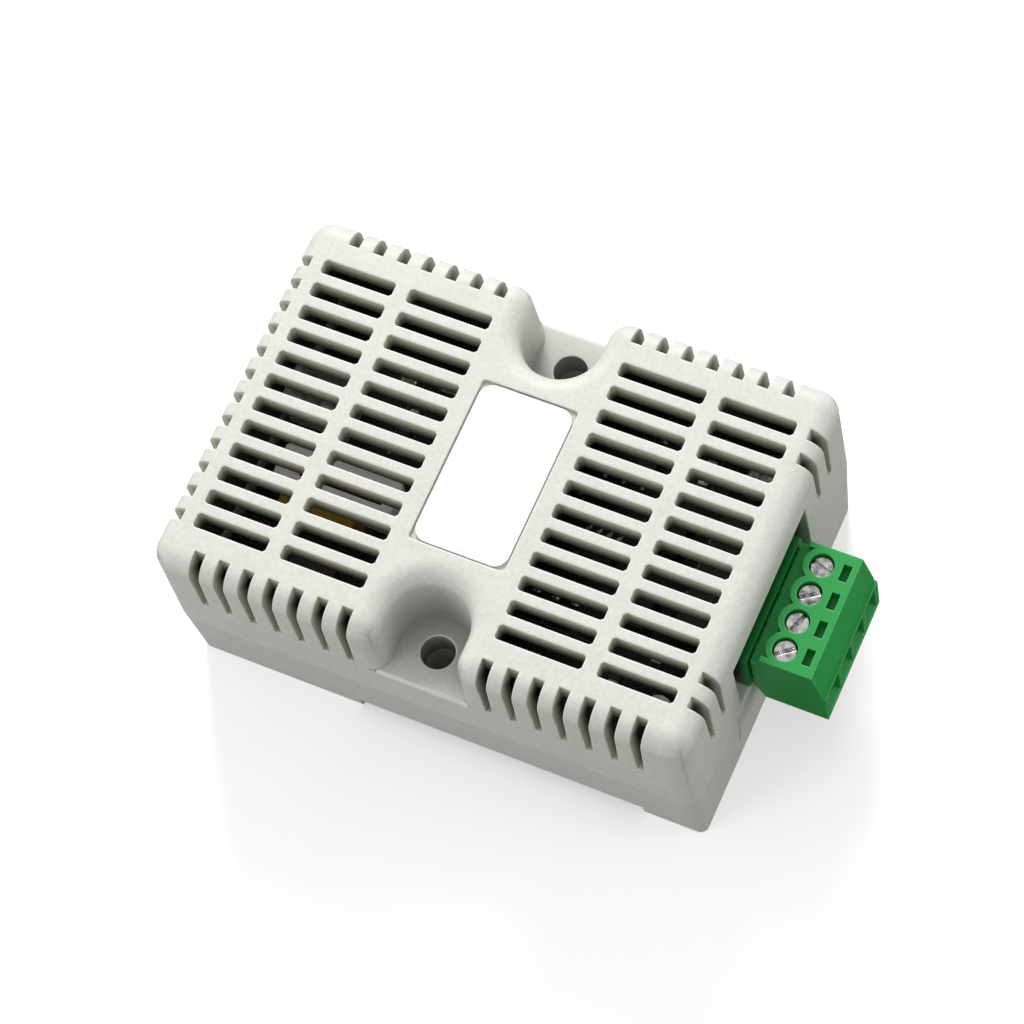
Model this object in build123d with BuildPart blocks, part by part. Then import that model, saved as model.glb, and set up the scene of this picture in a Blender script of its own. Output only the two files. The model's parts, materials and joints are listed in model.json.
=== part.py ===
from build123d import *
import math
import os

os.makedirs("parts", exist_ok=True)

# Temperature and humidity sensor in a vented two-part case, for a wall or a 35 mm rail.
# X runs along the case towards the plug, Y across it, Z up from the feet.
# The origin is midway between the two wall screws, on the plane that the feet stand on.
# All lengths are in millimetres, all angles in degrees.

# Case
case_length = 65.0
case_width = 46.0
case_height = 28.5
seam_height = 13.0
wall = 2.0
roof = 2.8
rim_wall = 1.0
cover_draft = 1.0
cover_corner_radius = 3.0
foot_corner_radius = 1.0
seam_bevel = 0.2
top_edge_radius = 2.4
foot_end_inset = 0.6
foot_side_inset = 1.3
overrun = 3.0

# Air slots in the roof: two long inner columns and two shorter outer ones
slot_rows = 12
slot_row_inset = 6.335
slot_width = 1.8
slot_corner_bevel = 0.3
slot_field_start = 7.875
slot_field_inset = 3.675
slot_column_bar = 1.75
inner_column_share = 0.533854

# Air slots that wrap over the top edges and run down the walls
edge_slot_width = 1.35
edge_slots_per_bank = 7
edge_bank_start = 8.39
edge_bank_inset = 5.99
edge_slot_reach = 2.9
end_slot_reach = 2.15
edge_slot_draft = 1.6
edge_slot_bottom = 19.3
closed_end_slot_bottom = 23.4
plug_end_rows = 2

# Wall screw notches: a drafted U with a ledge and a screw hole at its centre
hole_inset = 4.7
screw_hole_radius = 2.0
ledge_height = 18.6
ledge_thickness = 2.0
notch_radius = 4.45
notch_draft = 2.5
notch_wall = 1.7
notch_corner_radius = 2.4
ledge_edge_bevel = 0.3
screw_tube_radius = 3.5

# Label recess and label
label_length = 20.0
label_width = 11.2
label_thickness = 0.3
label_corner_radius = 1.7
label_gap = 0.2
label_recess_depth = 0.4
label_recess_corner_radius = 0.5

# Seam lip between the base and the cover
lip_height = 1.4
lip_corner_radius = 1.0
fit_gap = 0.1

# Snap hooks on the cover, with pockets in the base
hook_offset = 20.0
hook_width = 5.0
hook_thickness = 1.1
hook_gap = 0.95
hook_root = 2.5
hook_drop = 5.4
hook_nose = 1.2
hook_nose_height = 1.2
hook_tip = 0.6
hook_embed = 0.4
hook_pocket_gap = 0.35

# Terminal opening in the cover's end wall, and the pad under it on the base
opening_width = 20.5
opening_top = 23.5
pad_width = 22.6
pad_thickness = 0.12
pad_bottom = 2.6
pad_corner_radius = 2.5

# Rail channel under the base, its fixed hooks and its floor
rail_room = 35.4
rail_centre = 6.7
rail_bed = 2.0
floor_thickness = 2.0
hook_lip_thickness = 0.85
hook_lip_reach = 1.2
hook_lip_width = 9.0
hook_lip_offset = 12.5
hook_lip_bevel = 0.5
foot_skin = 1.8
foot_pocket_wall = 1.8

# Sliding rail latch and its guide in the long foot
latch_width = 10.0
latch_flange = 1.5
latch_thickness = 2.4
latch_ground_gap = 0.1
latch_gap = 0.15
latch_flange_thickness = 1.05
latch_end_wall = 1.5
latch_end_inset = 0.7
latch_nose_reach = 1.1
latch_nose_bevel = 0.5
latch_travel = 2.2
latch_arm_length = 8.0
latch_arm_width = 1.3
latch_arm_slot = 0.7
latch_nub_radius = 0.45
latch_nub_height = 0.35
latch_nub_offset = 17.0
driver_slot_width = 4.5
driver_slot_length = 1.4
driver_slot_inset = 2.0

# Circuit board, posts and board screws
board_bottom = 12.0
board_thickness = 1.6
board_end_room = 1.0
board_side_room = 1.3
board_corner_radius = 1.5
board_gap = 0.5
post_end_inset = 5.1
post_side_inset = 5.2
post_radius = 2.6
pilot_radius = 0.85
pilot_depth = 7.0
peg_radius = 1.15
peg_height = 2.4
board_hole_radius = 1.3
board_screw_radius = 0.75
board_screw_length = 6.0
board_screw_head_radius = 2.1
board_screw_head_height = 1.5
board_screw_head_bevel = 0.45
cross_size = 2.2
cross_width = 0.5
cross_depth = 0.7

# Pin header on the board
poles = 4
pole_pitch = 3.5
header_width = 15.8
header_height = 7.0
header_length = 9.2
header_reach = 0.1
header_back_wall = 1.8
header_side_wall = 0.75
header_floor = 0.9
pin_size = 0.9
pin_height = 3.6
pin_leg_gap = 0.35
pin_tail = 1.2
pin_inset = 2.2
pin_hole_radius = 0.75
pin_hole_sides = 8
key_rib_width = 1.0
key_rib_height = 0.3
key_gap = 0.2

# Plug that slides into the header, carrying the screw clamps
plug_width = 15.0
plug_gap = 0.35
plug_rise = 8.4
plug_drop = 2.65
plug_reach = 9.0
plug_top_reach = 7.55
plug_shoulder_drop = 1.5
plug_ledge_rise = 6.15
plug_ledge_depth = 0.4
plug_ledge_step = 0.5
plug_heel_height = 2.75
plug_heel_length = 1.2
tongue_gap = 0.25
tongue_end_gap = 0.5
collar_radius = 2.1
cheek_width = 0.6
cheek_inset = 1.1
screw_line_reach = 3.6
well_radius = 1.42
well_depth = 1.9
neck_length = 0.5
window_length = 1.0
window_width = 2.0
window_depth = 1.4
window_offset = 2.75
entry_width = 2.9
entry_height = 4.9
entry_lip = 0.8
entry_throat_width = 2.5
entry_throat_height = 3.2
entry_funnel = 2.2
cage_room = 0.1
channel_width = 1.9

# Clamp screws and rising wire clamps
clamp_head_radius = 1.25
clamp_head_height = 1.2
clamp_seat_gap = 0.05
clamp_shank_radius = 0.95
shank_gap = 0.05
clamp_slot_width = 0.5
clamp_slot_depth = 0.5
screw_angles = (37.0, 70.0, 34.0, -16.0)
cage_length = 2.6
cage_width = 2.7
cage_height = 5.65
cage_side = 0.4
cage_jaw = 0.6
cage_nut = 1.0
cage_floor_gap = 0.2
cage_travel = 1.6

# Spring contacts inside the plug
leaf_thickness = 0.4
leaf_width = 1.6
leaf_gap = 0.05
leaf_length = 4.6
contact_block = 1.3
contact_front_grip = 0.6
contact_mouth_gap = 0.6
screw_tip_gap = 0.2

# Parts on the board, each placed by shares of the board's half length and half width
sensor_place_shares = (-0.64, -0.19)
sensor_cap_length = 14.8
sensor_cap_width = 4.1
sensor_cap_height = 6.6
sensor_cap_wall = 0.7
sensor_cap_bevel = 0.3
sensor_vents = 6
sensor_vent_pitch = 2.2
sensor_vent_width = 0.8
sensor_vent_height = 3.2
sensor_gap_width = 0.5
sensor_gap_offset = 1.3
sensor_chip_size = 2.4
sensor_chip_height = 1.1
sensor_chip_eye = 0.6
sensor_chip_eye_depth = 0.3
small_round_sides = 8

film_place_share = -0.67
film_gap = 0.59
film_length = 9.4
film_width = 2.6
film_height = 6.0
film_bevel = 0.35

choke_place_shares = (-0.58, -0.74)
choke_radius = 2.7
choke_height = 6.2
choke_flange = 1.0
choke_waist = 0.6

connector_place_shares = (-0.87, 0.3)
connector_length = 7.4
connector_width = 5.7
connector_height = 6.8
connector_wall = 0.8
connector_floor = 1.5
connector_notch_width = 2.4
connector_notch_height = 3.0
connector_pin_size = 0.64
connector_pin_pitch = 2.5
connector_pin_height = 5.0

bulk_place_shares = (-0.26, 0.53)
bulk_radius = 3.15
bulk_base_size = 6.6
bulk_base_height = 0.8
bulk_base_corner = 1.2
bulk_height = 5.0
bulk_bevel = 0.4

crystal_place_shares = (-0.17, 0.14)
crystal_length = 10.6
crystal_width = 4.2
crystal_height = 3.4
crystal_flange = 0.35
crystal_flange_height = 0.5

controller_place_shares = (-0.12, -0.24)
controller_length = 9.9
controller_width = 3.9
controller_lead_count = 8
transceiver_place_shares = (0.35, 0.025)
transceiver_length = 4.9
transceiver_width = 3.9
transceiver_lead_count = 4
regulator_place_shares = (0.33, 0.63)
regulator_length = 6.5
regulator_width = 3.5
regulator_lead_count = 3
chip_height = 1.5
chip_stand = 0.15
chip_bevel = 0.2
chip_dot_radius = 0.35
chip_dot_depth = 0.1
lead_pitch = 1.27
regulator_lead_pitch = 2.3
lead_width = 0.42
lead_thickness = 0.18
lead_foot = 0.6
lead_run = 1.1
lead_shoulder_height = 0.7
tab_width = 3.0

diode_places_shares = ((0.62, 0.24), (0.62, -0.24))
diode_length = 4.3
diode_width = 2.6
diode_height = 2.1
diode_bevel = 0.25

resistor_places_shares = (
    (0.41, 0.86), (0.49, 0.86), (0.62, 0.74), (0.62, 0.6), (0.2, -0.25), (0.28, -0.25),
    (0.36, -0.25), (0.74, -0.5), (0.62, -0.62), (0.3, -0.62), (-0.55, 0.3), (-0.55, 0.42),
)
resistor_length = 2.0
resistor_width = 1.25
resistor_height = 0.5
capacitor_places_shares = (
    (0.22, -0.42), (0.34, -0.42), (0.46, -0.42), (0.52, 0.36), (0.5, -0.8),
    (0.16, 0.36), (-0.3, -0.6), (-0.45, 0.66), (-0.62, 0.6),
)
chip_capacitor_length = 2.0
chip_capacitor_width = 1.25
chip_capacitor_height = 1.1
led_place_shares = (-0.93, -0.55)
led_length = 2.0
led_width = 1.3
led_height = 0.8
led_lens_radius = 0.5
led_lens_rise = 0.3
led_lens_bevel = 0.15

# Sizes that follow from the ones above
foot_length = case_length - 2 * foot_end_inset
foot_width = case_width - 2 * foot_side_inset
floor_height = rail_bed + floor_thickness
latch_outer_end = foot_length / 2 - latch_end_inset
hollow_length = case_length - 2 * wall
hollow_width = case_width - 2 * wall
board_length = hollow_length - 2 * board_end_room
board_width = hollow_width - 2 * board_side_room
post_offset_x = board_length / 2 - post_end_inset
post_offset_y = board_width / 2 - post_side_inset
cover_rise = case_height - seam_height
hole_offset = case_width / 2 - hole_inset
slot_pitch = (case_width - 2 * slot_row_inset) / (slot_rows - 1)
slot_field_end = case_length / 2 - slot_field_inset
slot_field_length = slot_field_end - slot_field_start - slot_column_bar
inner_slot_length = slot_field_length * inner_column_share
outer_slot_length = slot_field_length - inner_slot_length
inner_column_offset = slot_field_start + inner_slot_length / 2
outer_column_offset = slot_field_end - outer_slot_length / 2
edge_bank_end = case_length / 2 - edge_bank_inset
edge_slot_pitch = (edge_bank_end - edge_bank_start) / (edge_slots_per_bank - 1)
edge_bank_offset = (edge_bank_start + edge_bank_end) / 2
rail_left = rail_centre - rail_room / 2
rail_right = rail_centre + rail_room / 2
boss_top = seam_height + lip_height + fit_gap
board_top = board_bottom + board_thickness
header_front = case_length / 2 + header_reach
header_back = header_front - header_length
plug_front = header_front + plug_reach
plug_top_front = header_front + plug_top_reach
screw_line = header_front + screw_line_reach
plug_top = board_top + plug_rise
plug_bottom = board_top - plug_drop
plug_shoulder_height = plug_top - plug_shoulder_drop
plug_ledge_height = plug_bottom + plug_ledge_rise
header_top = board_top + header_height
pin_level = board_top + pin_height
plug_back = header_front + plug_gap
well_floor = plug_top - well_depth
cage_roof = well_floor - neck_length
cage_bottom = cage_roof - fit_gap - cage_travel - cage_height
leaf_bottom = pin_level - pin_size / 2 - leaf_gap - leaf_thickness
tongue_back = header_back + header_back_wall + tongue_end_gap
tongue_half = header_width / 2 - header_side_wall - tongue_gap
tongue_low = board_top + header_floor + tongue_gap
tongue_high = header_top - header_floor - tongue_gap
latch_half = latch_width / 2
latch_roof = latch_ground_gap + latch_thickness + latch_gap
latch_flange_low = latch_ground_gap + latch_thickness - latch_flange_thickness
hook_outer = hollow_width / 2 - hook_gap
hook_inner = hook_outer - hook_thickness
hook_root_low = boss_top + label_recess_depth
hook_root_top = hook_root_low + hook_root
hook_bottom = seam_height - hook_drop
hook_nose_low = hook_bottom + hook_tip
hook_nose_top = hook_nose_low + hook_nose_height
pole_places = [(index - (poles - 1) / 2) * pole_pitch for index in range(poles)]
row_places = [(index - (slot_rows - 1) / 2) * slot_pitch for index in range(slot_rows)]
half_board = (board_length / 2, board_width / 2)


def on_board(shares):
    """A place on the board, from shares of its half length and half width."""
    return (shares[0] * half_board[0], shares[1] * half_board[1])


sensor_place = on_board(sensor_place_shares)
film_place = (
    film_place_share * half_board[0],
    sensor_place[1] - sensor_cap_width / 2 - film_gap - film_width / 2,
)


# The base: a drafted tray with the rail channel, the latch guide, posts and screw bosses
with BuildPart() as base_shell:
    with BuildSketch(Plane.XY):
        RectangleRounded(foot_length, foot_width, foot_corner_radius)
    with BuildSketch(Plane.XY.offset(seam_height - seam_bevel)):
        RectangleRounded(case_length, case_width, cover_corner_radius)
    # A fine bevel that shows as a line at the seam
    with BuildSketch(Plane.XY.offset(seam_height)):
        RectangleRounded(
            case_length - 2 * seam_bevel,
            case_width - 2 * seam_bevel,
            cover_corner_radius - seam_bevel,
        )
    loft(ruled=True)
    # A thin pad under the terminal opening, on the drafted end wall
    end_slant = math.atan(foot_end_inset / (seam_height - seam_bevel))
    end_wall = Plane(
        origin=(case_length / 2, 0, seam_height - seam_bevel),
        x_dir=(0, 1, 0),
        z_dir=(math.cos(end_slant), 0, -math.sin(end_slant)),
    )
    pad_height = (seam_height - seam_bevel - pad_bottom) / math.cos(end_slant)
    with BuildSketch(end_wall.offset(-rim_wall)):
        with Locations((0, -pad_height / 2)):
            RectangleRounded(pad_width, pad_height, pad_corner_radius)
        with Locations((0, -pad_corner_radius / 2)):
            Rectangle(pad_width, pad_corner_radius)
    extrude(amount=rim_wall + pad_thickness)
    # The hollow, with walls that follow the outside
    low_share = 1 - floor_height / seam_height
    with BuildSketch(Plane.XY.offset(floor_height)):
        Rectangle(
            hollow_length - 2 * foot_end_inset * low_share,
            hollow_width - 2 * foot_side_inset * low_share,
        )
    with BuildSketch(Plane.XY.offset(seam_height)):
        Rectangle(hollow_length, hollow_width)
    loft(ruled=True, mode=Mode.SUBTRACT)
    # Both feet are hollow inside, down to a skin
    foot_hollow_end = foot_length / 2 - wall
    right_pocket = foot_hollow_end - rail_right - foot_pocket_wall
    left_pocket = foot_hollow_end + rail_left - foot_pocket_wall
    pocket_inner = latch_half + latch_flange + latch_gap + latch_nub_height + foot_pocket_wall
    pocket_outer = foot_width / 2 - wall
    with BuildSketch(Plane.XY.offset(foot_skin)):
        with Locations((foot_hollow_end - right_pocket / 2, 0)):
            Rectangle(right_pocket, 2 * pocket_outer)
        for side in (1, -1):
            with Locations((left_pocket / 2 - foot_hollow_end, side * (pocket_inner + pocket_outer) / 2)):
                Rectangle(left_pocket, pocket_outer - pocket_inner)
    extrude(amount=floor_height - foot_skin, mode=Mode.SUBTRACT)
    # The lip that stands inside the cover's rim, open at the terminal end
    with BuildSketch(Plane.XY.offset(seam_height - wall)):
        RectangleRounded(
            case_length - 2 * rim_wall - 2 * fit_gap,
            case_width - 2 * rim_wall - 2 * fit_gap,
            cover_corner_radius - rim_wall,
        )
        RectangleRounded(hollow_length, hollow_width, lip_corner_radius, mode=Mode.SUBTRACT)
        with Locations((case_length / 2, 0)):
            Rectangle(4 * wall, opening_width + 2 * fit_gap, mode=Mode.SUBTRACT)
    extrude(amount=wall + lip_height)
    # Posts for the board and bosses for the wall screws
    with BuildSketch(Plane.XY.offset(foot_skin)):
        with GridLocations(2 * post_offset_x, 2 * post_offset_y, 2, 2):
            Circle(post_radius)
    extrude(amount=board_bottom - foot_skin)
    with BuildSketch(Plane.XY.offset(rail_bed)):
        with Locations((0, hole_offset), (0, -hole_offset)):
            Circle(screw_tube_radius)
    extrude(amount=boss_top - rail_bed)
    # Pilot holes in the posts at the terminal end, pegs on the other two
    with BuildSketch(Plane.XY.offset(board_bottom - pilot_depth)):
        with Locations((post_offset_x, post_offset_y), (post_offset_x, -post_offset_y)):
            Circle(pilot_radius)
    extrude(amount=pilot_depth + overrun, mode=Mode.SUBTRACT)
    with BuildSketch(Plane.XY.offset(board_bottom)):
        with Locations((-post_offset_x, post_offset_y), (-post_offset_x, -post_offset_y)):
            Circle(peg_radius)
    extrude(amount=peg_height)
    # Through holes in the bosses
    with BuildSketch(Plane.XY):
        with Locations((0, hole_offset), (0, -hole_offset)):
            Circle(screw_hole_radius)
    extrude(amount=boss_top + overrun, mode=Mode.SUBTRACT)
    # The rail channel crosses the whole base
    with BuildSketch(Plane.XZ):
        with Locations((rail_centre, (rail_bed - overrun) / 2)):
            Rectangle(rail_room, rail_bed + overrun)
    extrude(amount=case_width, both=True, mode=Mode.SUBTRACT)
    # Two fixed hooks reach under the rail's flange, with a bevelled lead-in
    for side in (1, -1):
        with BuildSketch(Plane.XZ.offset(side * hook_lip_offset)):
            with BuildLine():
                Polyline(
                    (rail_right + foot_pocket_wall, 0),
                    (rail_right - hook_lip_reach + hook_lip_bevel, 0),
                    (rail_right - hook_lip_reach, hook_lip_bevel),
                    (rail_right - hook_lip_reach, hook_lip_thickness),
                    (rail_right + foot_pocket_wall, hook_lip_thickness),
                    close=True,
                )
            make_face()
        extrude(amount=hook_lip_width / 2, both=True)
    # The latch guide: a T slot, open at the end wall and narrow where it meets the channel
    wide_stop = rail_left - latch_end_wall
    with BuildSketch(Plane.XY.offset(latch_flange_low - latch_gap)):
        with Locations(((wide_stop - case_length / 2 - overrun) / 2, 0)):
            Rectangle(
                wide_stop + case_length / 2 + overrun,
                2 * (latch_half + latch_flange + latch_gap),
            )
        for side in (1, -1):
            with Locations(
                (
                    -latch_nub_offset - latch_travel / 2,
                    side * (latch_half + latch_flange + latch_gap),
                )
            ):
                Rectangle(
                    latch_travel + 2 * latch_nub_radius + 2 * latch_gap,
                    2 * latch_nub_height,
                )
    extrude(amount=latch_roof - latch_flange_low + latch_gap, mode=Mode.SUBTRACT)
    with BuildSketch(Plane.XY.offset(-overrun)):
        with Locations(((rail_left + fit_gap - case_length / 2 - overrun) / 2, 0)):
            Rectangle(
                rail_left + fit_gap + case_length / 2 + overrun,
                2 * (latch_half + latch_gap),
            )
    extrude(amount=latch_roof + overrun, mode=Mode.SUBTRACT)
    # Pockets that catch the cover's hooks
    with BuildSketch(Plane.XY.offset(hook_nose_low - hook_pocket_gap)):
        with GridLocations(2 * hook_offset, 2 * hook_outer, 2, 2):
            Rectangle(hook_width + 2 * hook_pocket_gap, 2 * (hook_nose + hook_pocket_gap))
    extrude(amount=hook_nose_height + 2 * hook_pocket_gap, mode=Mode.SUBTRACT)

base_shell.part.label = "base_shell"
export_step(base_shell.part, "parts/base_shell.step")


# The cover: a drafted vented shell with screw notches, label recess and terminal opening
with BuildPart() as top_cover:
    with BuildSketch(Plane.XY.offset(seam_height)):
        RectangleRounded(case_length, case_width, cover_corner_radius)
    extrude(amount=cover_rise, taper=cover_draft)
    with BuildSketch(Plane.XY.offset(seam_height)):
        Rectangle(hollow_length, hollow_width)
    extrude(amount=cover_rise - roof, taper=cover_draft, mode=Mode.SUBTRACT)
    # Walls round the notches, and the tubes below them that meet the base's bosses
    with BuildSketch(Plane.XY.offset(ledge_height - ledge_thickness)):
        for side in (1, -1):
            with Locations((0, side * hole_offset)):
                Circle(notch_radius + notch_wall)
            with Locations((0, side * (hole_offset + case_width / 2) / 2)):
                Rectangle(2 * (notch_radius + notch_wall), case_width / 2 - hole_offset)
        Rectangle(case_length, case_width - wall, mode=Mode.INTERSECT)
    extrude(amount=case_height - roof / 2 - ledge_height + ledge_thickness)
    with BuildSketch(Plane.XY.offset(boss_top)):
        with Locations((0, hole_offset), (0, -hole_offset)):
            Circle(screw_tube_radius)
    extrude(amount=ledge_height - ledge_thickness / 2 - boss_top)
    # The U notches open outwards and widen towards the top
    for side in (1, -1):
        with BuildSketch(Plane.XY.offset(ledge_height)):
            with Locations((0, side * hole_offset)):
                Circle(notch_radius)
            with Locations((0, side * (hole_offset + case_width / 4))):
                Rectangle(2 * notch_radius, case_width / 2)
        extrude(
            amount=case_height - ledge_height + overrun,
            taper=-notch_draft,
            mode=Mode.SUBTRACT,
        )
    # Round corners where each notch breaks through the long walls
    wall_breaks = [
        edge
        for edge in top_cover.edges()
        if abs(edge.center().Y) > case_width / 2 - wall / 2
        and abs(edge.center().X) < 2 * notch_radius
        and edge.bounding_box().size.Z > ledge_thickness
    ]
    fillet(wall_breaks, radius=notch_corner_radius)
    # One rounded rim all round the top, through both notches
    fillet(top_cover.faces().sort_by(Axis.Z)[-1].outer_wire().edges(), radius=top_edge_radius)
    # A small bevel along each ledge's outer edge
    ledge_face = case_width / 2 - (ledge_height - seam_height) * math.tan(math.radians(cover_draft))
    for side in (1, -1):
        with BuildSketch(Plane.YZ):
            with BuildLine():
                Polyline(
                    (side * (ledge_face - ledge_edge_bevel), ledge_height),
                    (side * (ledge_face + ledge_edge_bevel), ledge_height),
                    (side * (ledge_face + ledge_edge_bevel), ledge_height - 2 * ledge_edge_bevel),
                    close=True,
                )
            make_face()
        extrude(amount=notch_radius + notch_corner_radius / 2, both=True, mode=Mode.SUBTRACT)
    # Screw holes
    with BuildSketch(Plane.XY.offset(seam_height)):
        with Locations((0, hole_offset), (0, -hole_offset)):
            Circle(screw_hole_radius)
    extrude(amount=cover_rise, mode=Mode.SUBTRACT)
    # Label recess
    with BuildSketch(Plane.XY.offset(case_height - label_recess_depth)):
        RectangleRounded(
            label_width + 2 * label_gap,
            label_length + 2 * label_gap,
            label_recess_corner_radius,
        )
    extrude(amount=overrun, mode=Mode.SUBTRACT)
    # Rebate for the base's lip
    with BuildSketch(Plane.XY.offset(seam_height - overrun)):
        RectangleRounded(
            case_length - 2 * rim_wall,
            case_width - 2 * rim_wall,
            cover_corner_radius - rim_wall,
        )
    extrude(amount=overrun + lip_height + fit_gap, mode=Mode.SUBTRACT)
    # Terminal opening, down to the seam
    with BuildSketch(Plane.YZ.offset(hollow_length / 2 - overrun)):
        with Locations((0, (opening_top + seam_height - overrun) / 2)):
            Rectangle(opening_width, opening_top - seam_height + overrun)
    extrude(amount=wall + 2 * overrun, mode=Mode.SUBTRACT)
    # Snap hooks under the long walls
    for side in (1, -1):
        for end in (1, -1):
            with BuildSketch(Plane.YZ.offset(end * hook_offset)):
                with BuildLine():
                    Polyline(
                        (side * hook_inner, hook_root_top),
                        (side * (hollow_width / 2 + hook_embed), hook_root_top),
                        (side * (hollow_width / 2 + hook_embed), hook_root_low),
                        (side * hook_outer, hook_root_low),
                        (side * hook_outer, hook_nose_top),
                        (side * (hook_outer + hook_nose), hook_nose_top),
                        (side * (hook_outer + hook_nose), hook_nose_top - hook_tip / 2),
                        (side * hook_outer, hook_nose_low),
                        (side * hook_outer, hook_bottom),
                        (side * hook_inner, hook_bottom),
                        close=True,
                    )
                make_face()
            extrude(amount=hook_width / 2, both=True)
    # Air slots in the roof
    with BuildSketch(Plane.XY.offset(case_height - roof - overrun)) as roof_slots:
        with Locations((inner_column_offset, 0), (-inner_column_offset, 0)):
            with GridLocations(0, slot_pitch, 1, slot_rows):
                Rectangle(inner_slot_length, slot_width)
        with Locations((outer_column_offset, 0), (-outer_column_offset, 0)):
            with GridLocations(0, slot_pitch, 1, slot_rows):
                Rectangle(outer_slot_length, slot_width)
        chamfer(roof_slots.vertices(), length=slot_corner_bevel)
    extrude(amount=roof + 2 * overrun, mode=Mode.SUBTRACT)
    # Air slots over the long edges, the closed end and beside the plug, narrower downwards
    edge_slot_narrowing = (case_height - edge_slot_bottom) * math.tan(math.radians(edge_slot_draft))
    narrow_width = edge_slot_width - 2 * edge_slot_narrowing
    with BuildSketch(Plane.XY.offset(edge_slot_bottom)):
        with GridLocations(2 * edge_bank_offset, case_width, 2, 2):
            with GridLocations(edge_slot_pitch, 0, edge_slots_per_bank, 1):
                Rectangle(narrow_width, 2 * (edge_slot_reach - edge_slot_narrowing))
        for index in range(plug_end_rows):
            with GridLocations(0, 2 * row_places[-1 - index], 1, 2):
                with Locations((case_length / 2, 0)):
                    Rectangle(2 * (end_slot_reach - edge_slot_narrowing), narrow_width)
    extrude(
        amount=case_height - edge_slot_bottom + overrun,
        taper=-edge_slot_draft,
        mode=Mode.SUBTRACT,
    )
    with BuildSketch(Plane.XY.offset(closed_end_slot_bottom)):
        with Locations(*[(-case_length / 2, place) for place in row_places]):
            Rectangle(2 * end_slot_reach, edge_slot_width)
    extrude(amount=case_height - closed_end_slot_bottom + overrun, mode=Mode.SUBTRACT)

top_cover.part.label = "top_cover"
export_step(top_cover.part, "parts/top_cover.step")


# The bare label seated in its recess
with BuildPart() as label_plate:
    with BuildSketch(Plane.XY.offset(case_height - label_recess_depth)):
        RectangleRounded(label_width, label_length, label_corner_radius)
    extrude(amount=label_thickness)

label_plate.part.label = "label_plate"
export_step(label_plate.part, "parts/label_plate.step")


# The rail latch: a flanged slider with a nose, two sprung side arms and a driver slot
with BuildPart() as din_latch:
    latch_front = rail_left - latch_gap
    latch_length = latch_outer_end + latch_front
    latch_middle = (latch_front - latch_outer_end) / 2
    with BuildSketch(Plane.XY.offset(latch_ground_gap)):
        with Locations((latch_middle, 0)):
            Rectangle(latch_length, latch_width)
    extrude(amount=latch_thickness)
    flange_end = rail_left - latch_end_wall - latch_gap
    with BuildSketch(Plane.XY.offset(latch_flange_low)):
        with Locations(((flange_end - latch_outer_end) / 2, 0)):
            Rectangle(latch_outer_end + flange_end, latch_width + 2 * latch_flange)
        with Locations(
            (-latch_nub_offset, latch_half + latch_flange - latch_nub_radius + latch_nub_height),
            (-latch_nub_offset, latch_nub_radius - latch_half - latch_flange - latch_nub_height),
        ):
            Circle(latch_nub_radius)
    extrude(amount=latch_flange_thickness)
    with BuildSketch(Plane.XZ):
        with BuildLine():
            Polyline(
                (latch_front - latch_thickness, latch_ground_gap),
                (rail_left + latch_nose_reach - latch_nose_bevel, latch_ground_gap),
                (rail_left + latch_nose_reach, latch_ground_gap + latch_nose_bevel),
                (rail_left + latch_nose_reach, hook_lip_thickness),
                (latch_front - latch_thickness, hook_lip_thickness),
                close=True,
            )
        make_face()
    extrude(amount=latch_half, both=True)
    # Slots beside the arms, so that the nubs can give
    arm_line = latch_half + latch_flange - latch_arm_width - latch_arm_slot / 2
    with BuildSketch(Plane.XY):
        for side in (1, -1):
            with Locations((-latch_nub_offset - latch_arm_length / 2 + latch_arm_width, side * arm_line)):
                SlotOverall(latch_arm_length, latch_arm_slot)
            with Locations(
                (
                    -latch_nub_offset + latch_arm_width,
                    side * (latch_half + latch_flange - latch_arm_width / 2 - latch_arm_slot / 2),
                )
            ):
                Rectangle(latch_arm_slot, latch_arm_width + latch_arm_slot)
        with Locations((driver_slot_inset - latch_outer_end + driver_slot_length / 2, 0)):
            Rectangle(driver_slot_length, driver_slot_width)
    extrude(amount=latch_thickness + overrun, mode=Mode.SUBTRACT)

din_latch.part.label = "din_latch"
export_step(din_latch.part, "parts/din_latch.step")


# The circuit board, cut out round the bosses and the cover's hooks
with BuildPart() as circuit_board:
    with BuildSketch(Plane.XY.offset(board_bottom)):
        RectangleRounded(board_length, board_width, board_corner_radius)
        for side in (1, -1):
            with Locations((0, side * hole_offset)):
                Circle(screw_tube_radius + board_gap, mode=Mode.SUBTRACT)
            with Locations((0, side * (hole_offset + board_width / 4))):
                Rectangle(
                    2 * (screw_tube_radius + board_gap), board_width / 2, mode=Mode.SUBTRACT
                )
        with GridLocations(2 * hook_offset, 2 * (hook_inner - board_gap + wall), 2, 2):
            Rectangle(hook_width + 2 * board_gap, 2 * wall, mode=Mode.SUBTRACT)
        with GridLocations(2 * post_offset_x, 2 * post_offset_y, 2, 2):
            Circle(board_hole_radius, mode=Mode.SUBTRACT)
        with Locations(*[(header_back - pin_leg_gap - pin_size / 2, place) for place in pole_places]):
            RegularPolygon(pin_hole_radius, pin_hole_sides, mode=Mode.SUBTRACT)
    extrude(amount=board_thickness)

circuit_board.part.label = "circuit_board"
export_step(circuit_board.part, "parts/circuit_board.step")


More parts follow.
